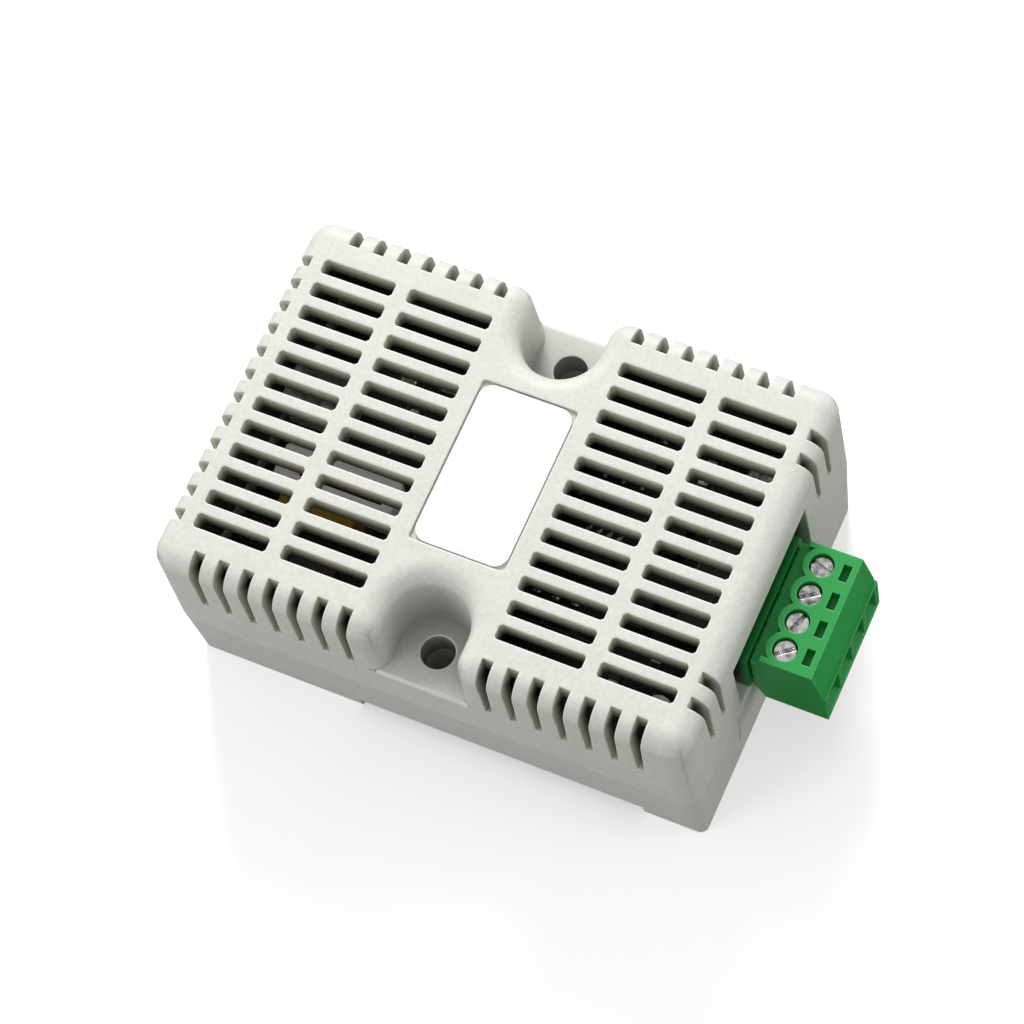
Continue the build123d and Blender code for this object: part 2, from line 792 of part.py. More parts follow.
# Two pan-head screws hold the board to the posts at the terminal end
screw_places = [(post_offset_x, post_offset_y), (post_offset_x, -post_offset_y)]
with BuildPart() as board_screws:
    with BuildSketch(Plane.XY.offset(board_top)):
        with Locations(*screw_places):
            Circle(board_screw_head_radius)
    extrude(amount=board_screw_head_height)
    chamfer(
        board_screws.faces().filter_by(Axis.Z).group_by(Axis.Z)[-1].edges(),
        length=board_screw_head_bevel,
    )
    with BuildSketch(Plane.XY.offset(board_top - board_screw_length)):
        with Locations(*screw_places):
            Circle(board_screw_radius)
    extrude(amount=board_screw_length)
    with BuildSketch(Plane.XY.offset(board_top + board_screw_head_height - cross_depth)):
        with Locations(*screw_places):
            Rectangle(cross_size, cross_width)
            Rectangle(cross_width, cross_size)
    extrude(amount=overrun, mode=Mode.SUBTRACT)

board_screws.part.label = "board_screws"
export_step(board_screws.part, "parts/board_screws.step")


# The header: an open box on the board's edge, facing out through the cover
with BuildPart() as terminal_header:
    with BuildSketch(Plane.XY.offset(board_top)):
        with Locations((header_front - header_length / 2, 0)):
            Rectangle(header_length, header_width)
    extrude(amount=header_height)
    header_room_bottom = board_top + header_floor
    header_room_top = header_top - header_floor
    with BuildSketch(Plane.YZ.offset(header_back + header_back_wall)):
        with Locations((0, (header_room_bottom + header_room_top) / 2)):
            Rectangle(header_width - 2 * header_side_wall, header_room_top - header_room_bottom)
        with Locations(*[(place, header_room_top) for place in pole_places]):
            Rectangle(key_rib_width + 2 * key_gap, 2 * (key_rib_height + key_gap - tongue_gap))
    extrude(amount=header_length, mode=Mode.SUBTRACT)
    with BuildSketch(Plane.YZ.offset(header_back - overrun)):
        with Locations(*[(place, pin_level) for place in pole_places]):
            Rectangle(pin_size, pin_size)
    extrude(amount=header_back_wall + 2 * overrun, mode=Mode.SUBTRACT)

terminal_header.part.label = "terminal_header"
export_step(terminal_header.part, "parts/terminal_header.step")


# Bent square pins, through the board and forward into the header
with BuildPart() as header_pins:
    pin_back = header_back - pin_leg_gap - pin_size
    for place in pole_places:
        with BuildSketch(Plane.XZ.offset(-place)):
            with BuildLine():
                Polyline(
                    (pin_back, board_bottom - pin_tail),
                    (pin_back + pin_size, board_bottom - pin_tail),
                    (pin_back + pin_size, pin_level - pin_size / 2),
                    (header_front - pin_inset, pin_level - pin_size / 2),
                    (header_front - pin_inset, pin_level + pin_size / 2),
                    (pin_back + pin_size / 2, pin_level + pin_size / 2),
                    (pin_back, pin_level),
                    close=True,
                )
            make_face()
        extrude(amount=pin_size / 2, both=True)
    tips = header_pins.faces().filter_by(Axis.X).group_by(Axis.X)[-1]
    chamfer(tips.edges(), length=pin_size / 4)

header_pins.part.label = "header_pins"
export_step(header_pins.part, "parts/header_pins.step")


# The plug: screw wells and test windows on top, wire entries in front, a tongue behind
with BuildPart() as plug_body:
    with BuildSketch(Plane.XZ):
        with BuildLine():
            Polyline(
                (plug_back, plug_top),
                (plug_back, plug_bottom + plug_heel_height),
                (plug_back + plug_heel_length, plug_bottom),
                (plug_front, plug_bottom),
                (plug_front, plug_ledge_height),
                (plug_front - plug_ledge_depth, plug_ledge_height),
                (plug_front - plug_ledge_depth, plug_ledge_height + plug_ledge_step),
                (plug_top_front, plug_top),
                close=True,
            )
        make_face()
    extrude(amount=plug_width / 2, both=True)
    # The low rear shelf, cut round the collars and between the end cheeks
    with BuildSketch(Plane.XY.offset(plug_shoulder_height)):
        with Locations(((plug_back + screw_line) / 2, 0)):
            Rectangle(screw_line - plug_back, plug_width - 2 * cheek_width)
        with Locations((plug_back + cheek_inset / 2, 0)):
            Rectangle(cheek_inset, plug_width)
        with Locations(*[(screw_line, place) for place in pole_places]):
            Circle(collar_radius, mode=Mode.SUBTRACT)
    extrude(amount=overrun, mode=Mode.SUBTRACT)
    # The tongue that enters the header, with one key rib above each pole
    with BuildSketch(Plane.YZ.offset(tongue_back)):
        with Locations((0, (tongue_low + tongue_high) / 2)):
            Rectangle(2 * tongue_half, tongue_high - tongue_low)
        with Locations(*[(place, tongue_high) for place in pole_places]):
            Rectangle(key_rib_width, 2 * key_rib_height)
    extrude(amount=plug_back - tongue_back)
    # Screw wells and necks
    with BuildSketch(Plane.XY.offset(well_floor)):
        with Locations(*[(screw_line, place) for place in pole_places]):
            Circle(well_radius)
    extrude(amount=well_depth + overrun, mode=Mode.SUBTRACT)
    with BuildSketch(Plane.XY.offset(cage_roof)):
        with Locations(*[(screw_line, place) for place in pole_places]):
            Circle(clamp_shank_radius + shank_gap)
    extrude(amount=neck_length, mode=Mode.SUBTRACT)
    # Rooms for the rising clamps
    with BuildSketch(Plane.XY.offset(cage_bottom - cage_floor_gap)):
        with Locations(*[(screw_line, place) for place in pole_places]):
            Rectangle(cage_length + 2 * cage_room, cage_width + 2 * cage_room)
    extrude(amount=cage_roof - cage_bottom + cage_floor_gap, mode=Mode.SUBTRACT)
    # Wire entries: a funnel behind the front face, then a throat into the clamp's room
    entry_bottom = plug_bottom + entry_lip
    entry_middle = entry_bottom + entry_height / 2
    throat_middle = cage_bottom + cage_jaw + entry_throat_height / 2
    for place in pole_places:
        with BuildSketch(Plane.YZ.offset(plug_front - entry_funnel)):
            with Locations((place, throat_middle)):
                Rectangle(entry_throat_width, entry_throat_height)
        with BuildSketch(Plane.YZ.offset(plug_front)):
            with Locations((place, entry_middle)):
                Rectangle(entry_width, entry_height)
        loft(mode=Mode.SUBTRACT)
    with BuildSketch(Plane.YZ.offset(screw_line)):
        with Locations(*[(place, throat_middle) for place in pole_places]):
            Rectangle(entry_throat_width, entry_throat_height)
    extrude(amount=plug_front - entry_funnel - screw_line, mode=Mode.SUBTRACT)
    # Channels for the contacts, from the tongue's end into the far wall of each room
    channel_low = leaf_bottom - fit_gap
    channel_high = pin_level + pin_size / 2 + leaf_gap + leaf_thickness + fit_gap
    with BuildSketch(Plane.YZ.offset(tongue_back)):
        with Locations(*[(place, (channel_low + channel_high) / 2) for place in pole_places]):
            Rectangle(channel_width, channel_high - channel_low)
    extrude(amount=screw_line - tongue_back, mode=Mode.SUBTRACT)
    grip_end = screw_line + cage_length / 2 + cage_room + contact_front_grip
    with BuildSketch(Plane.YZ.offset(screw_line)):
        with Locations(*[(place, leaf_bottom + leaf_thickness / 2) for place in pole_places]):
            Rectangle(leaf_width, leaf_thickness)
    extrude(amount=grip_end - screw_line, mode=Mode.SUBTRACT)
    # Test windows in front of the screws
    with BuildSketch(Plane.XY.offset(plug_top - window_depth)):
        with Locations(*[(screw_line + window_offset, place) for place in pole_places]):
            Rectangle(window_length, window_width)
    extrude(amount=window_depth + overrun, mode=Mode.SUBTRACT)

plug_body.part.label = "plug_body"
export_step(plug_body.part, "parts/plug_body.step")


# One contact for each pole: a fork round the header's pin and a bar through the clamp
with BuildPart() as plug_contacts:
    fork_back = tongue_back + contact_mouth_gap
    fork_end = fork_back + leaf_length
    for place in pole_places:
        with BuildSketch(Plane.XZ.offset(-place)):
            with BuildLine():
                Polyline(
                    (fork_back, leaf_bottom),
                    (grip_end, leaf_bottom),
                    (grip_end, leaf_bottom + leaf_thickness),
                    (fork_end + contact_block, leaf_bottom + leaf_thickness),
                    (fork_end + contact_block, channel_high - fit_gap),
                    (fork_back, channel_high - fit_gap),
                    (fork_back, channel_high - fit_gap - leaf_thickness),
                    (fork_end, channel_high - fit_gap - leaf_thickness),
                    (fork_end, leaf_bottom + leaf_thickness),
                    (fork_back, leaf_bottom + leaf_thickness),
                    close=True,
                )
            make_face()
        extrude(amount=leaf_width / 2, both=True)

plug_contacts.part.label = "plug_contacts"
export_step(plug_contacts.part, "parts/plug_contacts.step")


# The clamp screws: a slotted head in its well, a shank down through the clamp's nut
for index, place in enumerate(pole_places):
    head_bottom = well_floor + clamp_seat_gap
    shank_tip = leaf_bottom + leaf_thickness + screw_tip_gap
    with BuildPart() as clamp_screw:
        with BuildSketch(Plane.XY.offset(head_bottom)):
            with Locations((screw_line, place)):
                Circle(clamp_head_radius)
        extrude(amount=clamp_head_height)
        with BuildSketch(Plane.XY.offset(shank_tip)):
            with Locations((screw_line, place)):
                Circle(clamp_shank_radius)
        extrude(amount=head_bottom - shank_tip)
        with BuildSketch(Plane.XY.offset(head_bottom + clamp_head_height - clamp_slot_depth)):
            with Locations((screw_line, place)):
                Rectangle(
                    3 * clamp_head_radius,
                    clamp_slot_width,
                    rotation=screw_angles[index % len(screw_angles)],
                )
        extrude(amount=overrun, mode=Mode.SUBTRACT)
    clamp_screw.part.label = f"clamp_screw_{index + 1}"
    export_step(clamp_screw.part, f"parts/clamp_screw_{index + 1}.step")


# The rising clamps: square cages, open towards the wire, with a nut plate on top
for index, place in enumerate(pole_places):
    with BuildPart() as wire_clamp:
        with BuildSketch(Plane.YZ.offset(screw_line)):
            with Locations((place, cage_bottom + cage_height / 2)):
                Rectangle(cage_width, cage_height)
            with Locations((place, (2 * cage_bottom + cage_jaw + cage_height - cage_nut) / 2)):
                Rectangle(
                    cage_width - 2 * cage_side,
                    cage_height - cage_jaw - cage_nut,
                    mode=Mode.SUBTRACT,
                )
        extrude(amount=cage_length / 2, both=True)
        with BuildSketch(Plane.XY.offset(cage_bottom + cage_height - cage_nut)):
            with Locations((screw_line, place)):
                Circle(clamp_shank_radius + shank_gap)
        extrude(amount=cage_nut, mode=Mode.SUBTRACT)
    wire_clamp.part.label = f"wire_clamp_{index + 1}"
    export_step(wire_clamp.part, f"parts/wire_clamp_{index + 1}.step")


# The sensor under its long white cap, vented in the top and both sides
sensor_place = on_board(sensor_place_shares)
with BuildPart() as sensor_cap:
    with BuildSketch(Plane.XY.offset(board_top)):
        with Locations(sensor_place):
            Rectangle(sensor_cap_length, sensor_cap_width)
    extrude(amount=sensor_cap_height)
    chamfer(sensor_cap.edges().filter_by(Axis.Z), length=sensor_cap_bevel)
    chamfer(sensor_cap.faces().sort_by(Axis.Z)[-1].edges(), length=sensor_cap_bevel / 2)
    with BuildSketch(Plane.XY.offset(board_top)):
        with Locations(sensor_place):
            Rectangle(sensor_cap_length - 2 * sensor_cap_wall, sensor_cap_width - 2 * sensor_cap_wall)
    extrude(amount=sensor_cap_height - sensor_cap_wall, mode=Mode.SUBTRACT)
    with BuildSketch(Plane.XY.offset(board_top + sensor_cap_wall)):
        with Locations(sensor_place):
            with GridLocations(sensor_vent_pitch, 0, sensor_vents, 1):
                Rectangle(sensor_vent_width, 2 * sensor_cap_width)
    extrude(amount=sensor_vent_height, mode=Mode.SUBTRACT)
    with BuildSketch(Plane.XY.offset(board_top + sensor_cap_height - sensor_cap_wall)):
        with Locations((sensor_place[0], sensor_place[1] - sensor_gap_offset + sensor_gap_width / 2)):
            Rectangle(sensor_cap_length - 4 * sensor_cap_wall, sensor_gap_width)
    extrude(amount=overrun, mode=Mode.SUBTRACT)

sensor_cap.part.label = "sensor_cap"
export_step(sensor_cap.part, "parts/sensor_cap.step")

with BuildPart() as sensor_chip:
    with BuildSketch(Plane.XY.offset(board_top)):
        with Locations(sensor_place):
            Rectangle(sensor_chip_size, sensor_chip_size)
    extrude(amount=sensor_chip_height)
    with BuildSketch(Plane.XY.offset(board_top + sensor_chip_height - sensor_chip_eye_depth)):
        with Locations(sensor_place):
            RegularPolygon(sensor_chip_eye, small_round_sides)
    extrude(amount=overrun, mode=Mode.SUBTRACT)

sensor_chip.part.label = "sensor_chip"
export_step(sensor_chip.part, "parts/sensor_chip.step")


# A yellow boxed film capacitor
with BuildPart() as film_capacitor:
    with BuildSketch(Plane.XY.offset(board_top)):
        with Locations(film_place):
            Rectangle(film_length, film_width)
    extrude(amount=film_height)
    chamfer(film_capacitor.edges().filter_by(Axis.Z), length=film_bevel)
    chamfer(film_capacitor.faces().sort_by(Axis.Z)[-1].edges(), length=film_bevel / 2)

film_capacitor.part.label = "film_capacitor"
export_step(film_capacitor.part, "parts/film_capacitor.step")


# A drum choke: two flanges with the winding between them
choke_place = on_board(choke_place_shares)
with BuildPart() as choke:
    with BuildSketch(Plane.XY.offset(board_top)):
        with Locations(choke_place):
            Circle(choke_radius)
    extrude(amount=choke_flange)
    with BuildSketch(Plane.XY.offset(board_top)):
        with Locations(choke_place):
            Circle(choke_radius - choke_waist)
    extrude(amount=choke_height)
    with BuildSketch(Plane.XY.offset(board_top + choke_height - choke_flange)):
        with Locations(choke_place):
            Circle(choke_radius)
    extrude(amount=choke_flange)

choke.part.label = "choke"
export_step(choke.part, "parts/choke.step")


# A white two-way board connector and its pins
connector_place = on_board(connector_place_shares)
with BuildPart() as link_connector:
    with BuildSketch(Plane.XY.offset(board_top)):
        with Locations(connector_place):
            Rectangle(connector_length, connector_width)
    extrude(amount=connector_height)
    with BuildSketch(Plane.XY.offset(board_top + connector_floor)):
        with Locations(connector_place):
            Rectangle(connector_length - 2 * connector_wall, connector_width - 2 * connector_wall)
    extrude(amount=connector_height, mode=Mode.SUBTRACT)
    with BuildSketch(Plane.XY.offset(board_top + connector_height - connector_notch_height)):
        with Locations((connector_place[0], connector_place[1] - connector_width / 2)):
            Rectangle(connector_notch_width, 3 * connector_wall)
    extrude(amount=connector_height, mode=Mode.SUBTRACT)

link_connector.part.label = "link_connector"
export_step(link_connector.part, "parts/link_connector.step")

with BuildPart() as connector_pins:
    with BuildSketch(Plane.XY.offset(board_top + connector_floor)):
        with Locations(connector_place):
            with GridLocations(connector_pin_pitch, 0, 2, 1):
                Rectangle(connector_pin_size, connector_pin_size)
    extrude(amount=connector_pin_height - connector_floor)

connector_pins.part.label = "connector_pins"
export_step(connector_pins.part, "parts/connector_pins.step")


# A can capacitor on its square base
bulk_place = on_board(bulk_place_shares)
with BuildPart() as capacitor_base:
    with BuildSketch(Plane.XY.offset(board_top)):
        with Locations(bulk_place):
            Rectangle(bulk_base_size, bulk_base_size)
    extrude(amount=bulk_base_height)
    chamfer(
        capacitor_base.edges().filter_by(Axis.Z).group_by(Axis.X)[-1], length=bulk_base_corner
    )

capacitor_base.part.label = "capacitor_base"
export_step(capacitor_base.part, "parts/capacitor_base.step")

with BuildPart() as bulk_capacitor:
    can_bottom = board_top + bulk_base_height
    with BuildSketch(Plane.XY.offset(can_bottom)):
        with Locations(bulk_place):
            Circle(bulk_radius)
    extrude(amount=bulk_height)
    chamfer(bulk_capacitor.faces().sort_by(Axis.Z)[-1].edges(), length=bulk_bevel)

bulk_capacitor.part.label = "bulk_capacitor"
export_step(bulk_capacitor.part, "parts/bulk_capacitor.step")


# A crystal in its flanged metal can
with BuildPart() as crystal:
    with BuildSketch(Plane.XY.offset(board_top)):
        with Locations(on_board(crystal_place_shares)):
            SlotOverall(crystal_length + 2 * crystal_flange, crystal_width + 2 * crystal_flange)
    extrude(amount=crystal_flange_height)
    with BuildSketch(Plane.XY.offset(board_top + crystal_flange_height)):
        with Locations(on_board(crystal_place_shares)):
            SlotOverall(crystal_length, crystal_width)
    extrude(amount=crystal_height - crystal_flange_height)

crystal.part.label = "crystal"
export_step(crystal.part, "parts/crystal.step")


# Moulded chips with bevelled tops and a dimple at the first lead
chips = (
    ("microcontroller", controller_place_shares, controller_length, controller_width),
    ("transceiver", transceiver_place_shares, transceiver_length, transceiver_width),
    ("regulator", regulator_place_shares, regulator_length, regulator_width),
)
chip_bottom = board_top + chip_stand
for name, place_shares, length, width in chips:
    chip_place = on_board(place_shares)
    with BuildPart() as chip:
        with BuildSketch(Plane.XY.offset(chip_bottom)):
            with Locations(chip_place):
                Rectangle(length, width)
        extrude(amount=chip_height)
        chamfer(chip.faces().sort_by(Axis.Z)[-1].edges(), length=chip_bevel)
        with BuildSketch(Plane.XY.offset(chip_bottom + chip_height - chip_dot_depth)):
            with Locations(
                (
                    chip_place[0] - length / 2 + 3 * chip_dot_radius,
                    chip_place[1] - width / 2 + 3 * chip_dot_radius,
                )
            ):
                RegularPolygon(chip_dot_radius, small_round_sides)
        extrude(amount=chip_bevel, mode=Mode.SUBTRACT)
    chip.part.label = name
    export_step(chip.part, f"parts/{name}.step")


# The chips' bent leads, and the regulator's cooling tab
lead_rows = (
    (controller_place_shares, controller_width, controller_lead_count, lead_pitch, (1, -1)),
    (transceiver_place_shares, transceiver_width, transceiver_lead_count, lead_pitch, (1, -1)),
    (regulator_place_shares, regulator_width, regulator_lead_count, regulator_lead_pitch, (-1,)),
)
with BuildPart() as chip_leads:
    for place_shares, width, count, pitch, sides in lead_rows:
        lead_place = on_board(place_shares)
        for side in sides:
            for index in range(count):
                along = lead_place[0] + (index - (count - 1) / 2) * pitch
                foot_plane = Plane(
                    origin=(along, lead_place[1] + side * width / 2, board_top),
                    x_dir=(0, side, 0),
                    z_dir=(side, 0, 0),
                )
                with BuildSketch(foot_plane):
                    with BuildLine():
                        Polyline(
                            (0, lead_shoulder_height),
                            (lead_run - lead_foot - lead_thickness, lead_shoulder_height),
                            (lead_run - lead_foot - lead_thickness, 0),
                            (lead_run, 0),
                            (lead_run, lead_thickness),
                            (lead_run - lead_foot, lead_thickness),
                            (lead_run - lead_foot, lead_shoulder_height + lead_thickness),
                            (0, lead_shoulder_height + lead_thickness),
                            close=True,
                        )
                    make_face()
                extrude(amount=lead_width / 2, both=True)
    tab_place = on_board(regulator_place_shares)
    with BuildSketch(Plane.XY.offset(board_top)):
        with Locations((tab_place[0], tab_place[1] + regulator_width / 2 + lead_run / 2)):
            Rectangle(tab_width, lead_run)
    extrude(amount=lead_thickness)

chip_leads.part.label = "chip_leads"
export_step(chip_leads.part, "parts/chip_leads.step")


# Two clamp diodes that guard the bus lines
with BuildPart() as clamp_diodes:
    with BuildSketch(Plane.XY.offset(board_top)):
        with Locations(*[on_board(shares) for shares in diode_places_shares]):
            Rectangle(diode_width, diode_length)
    extrude(amount=diode_height)
    chamfer(
        clamp_diodes.faces().filter_by(Axis.Z).group_by(Axis.Z)[-1].edges(),
        length=diode_bevel,
    )

clamp_diodes.part.label = "clamp_diodes"
export_step(clamp_diodes.part, "parts/clamp_diodes.step")


# Small chip resistors and chip capacitors
with BuildPart() as chip_resistors:
    with BuildSketch(Plane.XY.offset(board_top)):
        with Locations(*[on_board(shares) for shares in resistor_places_shares]):
            Rectangle(resistor_width, resistor_length)
    extrude(amount=resistor_height)

chip_resistors.part.label = "chip_resistors"
export_step(chip_resistors.part, "parts/chip_resistors.step")

with BuildPart() as chip_capacitors:
    with BuildSketch(Plane.XY.offset(board_top)):
        with Locations(*[on_board(shares) for shares in capacitor_places_shares]):
            Rectangle(chip_capacitor_length, chip_capacitor_width)
    extrude(amount=chip_capacitor_height)

chip_capacitors.part.label = "chip_capacitors"
export_step(chip_capacitors.part, "parts/chip_capacitors.step")


# The status lamp: a small body with a round lens in its top
led_place = on_board(led_place_shares)
with BuildPart() as status_led:
    with BuildSketch(Plane.XY.offset(board_top)):
        with Locations(led_place):
            Rectangle(led_width, led_length)
    extrude(amount=led_height)
    with BuildSketch(Plane.XY.offset(board_top + led_height)):
        with Locations(led_place):
            RegularPolygon(led_lens_radius, small_round_sides)
    extrude(amount=led_lens_rise)
    chamfer(status_led.faces().sort_by(Axis.Z)[-1].edges(), length=led_lens_bevel)

status_led.part.label = "status_led"
export_step(status_led.part, "parts/status_led.step")

print("parts written: clamp travel", cage_travel, "mm, latch travel", latch_travel, "mm")
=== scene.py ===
# %% [markdown]
# # A vented temperature and humidity sensor
# The solids of the case, the plug, the latch and the board come ready made, each at its place.
# This lesson dresses them: it gives every piece a finish worked out by nodes, adds the small
# things that are too fine for a solid, such as wire, solder and tracks, and lights the scene.
# The first cell loads the solids and keeps them by name.

# %% Load the solids
import json

import bmesh
import bpy
import numpy as np
from mathutils import Matrix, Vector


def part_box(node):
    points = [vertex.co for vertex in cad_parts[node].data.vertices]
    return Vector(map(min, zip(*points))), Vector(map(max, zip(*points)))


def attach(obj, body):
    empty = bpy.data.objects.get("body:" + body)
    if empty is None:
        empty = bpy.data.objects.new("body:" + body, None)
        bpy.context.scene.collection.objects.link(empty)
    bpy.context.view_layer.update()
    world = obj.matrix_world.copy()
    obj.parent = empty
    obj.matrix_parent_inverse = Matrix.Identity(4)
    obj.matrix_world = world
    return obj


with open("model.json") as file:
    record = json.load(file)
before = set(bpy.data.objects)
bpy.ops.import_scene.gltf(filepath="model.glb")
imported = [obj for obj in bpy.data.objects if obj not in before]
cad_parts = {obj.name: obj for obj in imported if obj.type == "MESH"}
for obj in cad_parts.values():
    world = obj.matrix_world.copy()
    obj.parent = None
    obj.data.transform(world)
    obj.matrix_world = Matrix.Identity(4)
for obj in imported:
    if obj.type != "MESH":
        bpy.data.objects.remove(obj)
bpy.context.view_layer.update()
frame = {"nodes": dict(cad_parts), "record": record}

# %% [markdown]
# Blender works in metres and this object in millimetres, so one value turns one into the other.
# It keeps the numbers below readable, and a pattern's scale can be given as marks per millimetre.

# %% One millimetre
mm = 0.001
scene = bpy.context.scene
print("one millimetre is", mm, "of Blender's units")


# %% [markdown]
# ## The camera
# The picture that the object is rebuilt from was taken with a long lens from above one corner,
# with the camera turned a little about its own line of sight. A camera could be placed by eye
# with a Track To constraint, but that can't hold a roll. Here three directions are worked out
# from the place, the aim and the roll, and they become the columns of the camera's matrix.

# %% Place the camera
camera_eye = np.array([113.38, -132.30, 398.01]) * mm
camera_aim = np.array([-3.84, 5.52, 2.97]) * mm
camera_roll = np.radians(17.85)


def camera_matrix(eye, aim, roll):
    """Back points from the aim to the eye; right is level and square to it; up completes the
    three. Right and up then turn about back: right * cos - up * sin and right * sin + up * cos."""
    back = (eye - aim) / np.linalg.norm(eye - aim)
    level = np.cross([0.0, 0.0, 1.0], back)
    level /= np.linalg.norm(level)
    upright = np.cross(back, level)
    right = level * np.cos(roll) - upright * np.sin(roll)
    up = level * np.sin(roll) + upright * np.cos(roll)
    matrix = np.eye(4)
    matrix[:3, 0], matrix[:3, 1], matrix[:3, 2], matrix[:3, 3] = right, up, back, eye
    return Matrix(matrix.tolist())


camera_data = bpy.data.cameras.new("photo_camera")
camera_data.lens = 131.2
camera_data.sensor_width = 36.0
camera_data.clip_start = 10 * mm
camera = bpy.data.objects.new("photo_camera", camera_data)
camera.matrix_world = camera_matrix(camera_eye, camera_aim, camera_roll)
scene.collection.objects.link(camera)
scene.camera = camera
print("camera distance:", round(float(np.linalg.norm(camera_eye - camera_aim)) / mm, 1), "mm")

# %% [markdown]
# ## Light
# The picture has two kinds of light. A wide box stands behind the case to the left and about
# forty degrees up: it lights the top and the near walls of the slots, and leaves the front, the
# notches and the room under the cover in the shade. A white world all round fills that shade,
# and two weak low boxes lift the front and the end with the plug to about half the brightness of
# the top. One strong sun would be simpler, but its shadows have hard edges, and the picture's
# are soft. The Standard view shows the colours as they are set.

# %% Sky, lamps and view
sky_strength = 0.65
lamp_width = 260.0 * mm
lamp_aim = np.array([0.0, 0.0, 5.0]) * mm
scene.view_settings.view_transform = "Standard"
scene.view_settings.look = "None"
world = bpy.data.worlds.new("studio")
world.use_nodes = True
background = world.node_tree.nodes["Background"]
background.inputs["Color"].default_value = (1.0, 1.0, 1.0, 1.0)
background.inputs["Strength"].default_value = sky_strength
scene.world = world


def soft_lamp(name, place, watts):
    """A square area lamp that faces the case from a place in millimetres."""
    data = bpy.data.lights.new(name, "AREA")
    data.shape = "SQUARE"
    data.size = lamp_width
    data.energy = watts
    lamp = bpy.data.objects.new(name, data)
    lamp.matrix_world = camera_matrix(np.array(place) * mm, lamp_aim, 0.0)
    scene.collection.objects.link(lamp)
    print(name, watts, "W")


soft_lamp("key_box", (-250.0, 520.0, 480.0), 4.15)
soft_lamp("front_fill", (-430.0, -600.0, 200.0), 1.3)
soft_lamp("end_fill", (640.0, 220.0, 160.0), 0.7)

# %% [markdown]
# The floor is one flat sheet at the height of the feet. Blender's own plane would do, but a grid
# of points shows how every new mesh of this lesson is made. The floor is staging and not part of
# the object.


# %% The floor
def surface(name, points):
    """A mesh from a grid of points, shaped (rows, columns, 3), in metres. Each cell of the grid
    is one four-sided face. With rows along x and columns along y the faces look up."""
    rows, columns = points.shape[:2]
    row, column = np.meshgrid(np.arange(rows - 1), np.arange(columns - 1), indexing="ij")
    here = row * columns + column
    there = here + columns
    quads = np.stack([here, there, there + 1, here + 1], axis=-1)
    mesh = bpy.data.meshes.new(name)
    mesh.from_pydata(points.reshape(-1, 3).tolist(), [], quads.reshape(-1, 4).tolist())
    piece = bpy.data.objects.new(name, mesh)
    scene.collection.objects.link(piece)
    return piece


floor_half = 3000.0 * mm
floor_level = -0.02 * mm
floor_lines = np.linspace(-floor_half, floor_half, 3)
floor_x, floor_y = np.meshgrid(floor_lines, floor_lines, indexing="ij")
floor_z = np.full_like(floor_x, floor_level)
floor = surface("floor", np.stack([floor_x, floor_y, floor_z], axis=-1))
print("floor:", 2 * floor_half, "m wide,", len(floor.data.polygons), "faces")

# %% [markdown]
# ## Finishes
# Every finish is one Principled shader with nodes in front of it. They could be drawn by hand in
# the shader editor, but written down they can be read and changed. The helper below makes a
# node, sets its inputs by name and links others, so that a finish reads as a short recipe.


# %% A node helper
class Recipe:
    """A material, or a shader group, that is written node by node."""

    def __init__(self, tree):
        self.tree = tree

    def feed(self, node, inputs):
        """Fills inputs of a node, by the socket's name or number. A value is set on the socket,
        and the output of another node is linked to it."""
        for key, value in inputs.items():
            if isinstance(value, bpy.types.NodeSocket):
                self.tree.links.new(value, node.inputs[key])
            else:
                node.inputs[key].default_value = value

    def add(self, kind, inputs=None, **settings):
        """Makes a node. Settings are its own properties, and inputs are fed as above."""
        node = self.tree.nodes.new(kind)
        for key, value in settings.items():
            setattr(node, key, value)
        self.feed(node, inputs or {})
        return node

    def math(self, operation, first, second=0.0, clamp=False):
        """One step of arithmetic on values."""
        inputs = {0: first, 1: second}
        return self.add("ShaderNodeMath", inputs, operation=operation, use_clamp=clamp).outputs[0]

    def rise(self, value, start, end, low=0.0, high=1.0):
        """A value's way from start to end, told as low to high and no further."""
        inputs = {0: value, 1: start, 2: end, 3: low, 4: high}
        return self.add("ShaderNodeMapRange", inputs).outputs[0]

    def mix(self, share, first, second, blend="MIX"):
        """Mixes two colours by a share."""
        inputs = {0: share, 6: first, 7: second}
        return self.add("ShaderNodeMix", inputs, data_type="RGBA", blend_type=blend).outputs[2]

    def tint(self, first, second):
        """Multiplies two colours."""
        return self.mix(1.0, first, second, "MULTIPLY")

    def ramp(self, value, stops):
        """A colour ramp over value, from (place, grey or colour) stops."""
        node = self.add("ShaderNodeValToRGB", {"Fac": value})
        elements = node.color_ramp.elements
        for element, (place, tone) in zip(elements, stops):
            element.position = place
            element.color = (tone, tone, tone, 1.0) if np.isscalar(tone) else tone
        return node.outputs["Color"]

    def own_place(self):
        """The piece's own coordinates, so that a pattern stays with a piece that moves."""
        return self.add("ShaderNodeTexCoord").outputs["Object"]

    def split(self, vector):
        """The X, Y and Z of a vector."""
        return self.add("ShaderNodeSeparateXYZ", {0: vector}).outputs

    def noise(self, where, scale, detail, roughness=0.5):
        """Soft spots, scale of them to a metre, with finer ones on top for each step of detail."""
        inputs = {"Vector": where, "Scale": scale, "Detail": detail, "Roughness": roughness}
        return self.add("ShaderNodeTexNoise", inputs).outputs["Fac"]

    def bump(self, height, strength, depth, normal=None):
        """The normal of a surface that height moves by up to depth."""
        inputs = {"Height": height, "Strength": strength, "Distance": depth}
        if normal is not None:
            inputs["Normal"] = normal
        return self.add("ShaderNodeBump", inputs).outputs["Normal"]


print("recipe steps:", [step for step in vars(Recipe) if not step.startswith("_")])


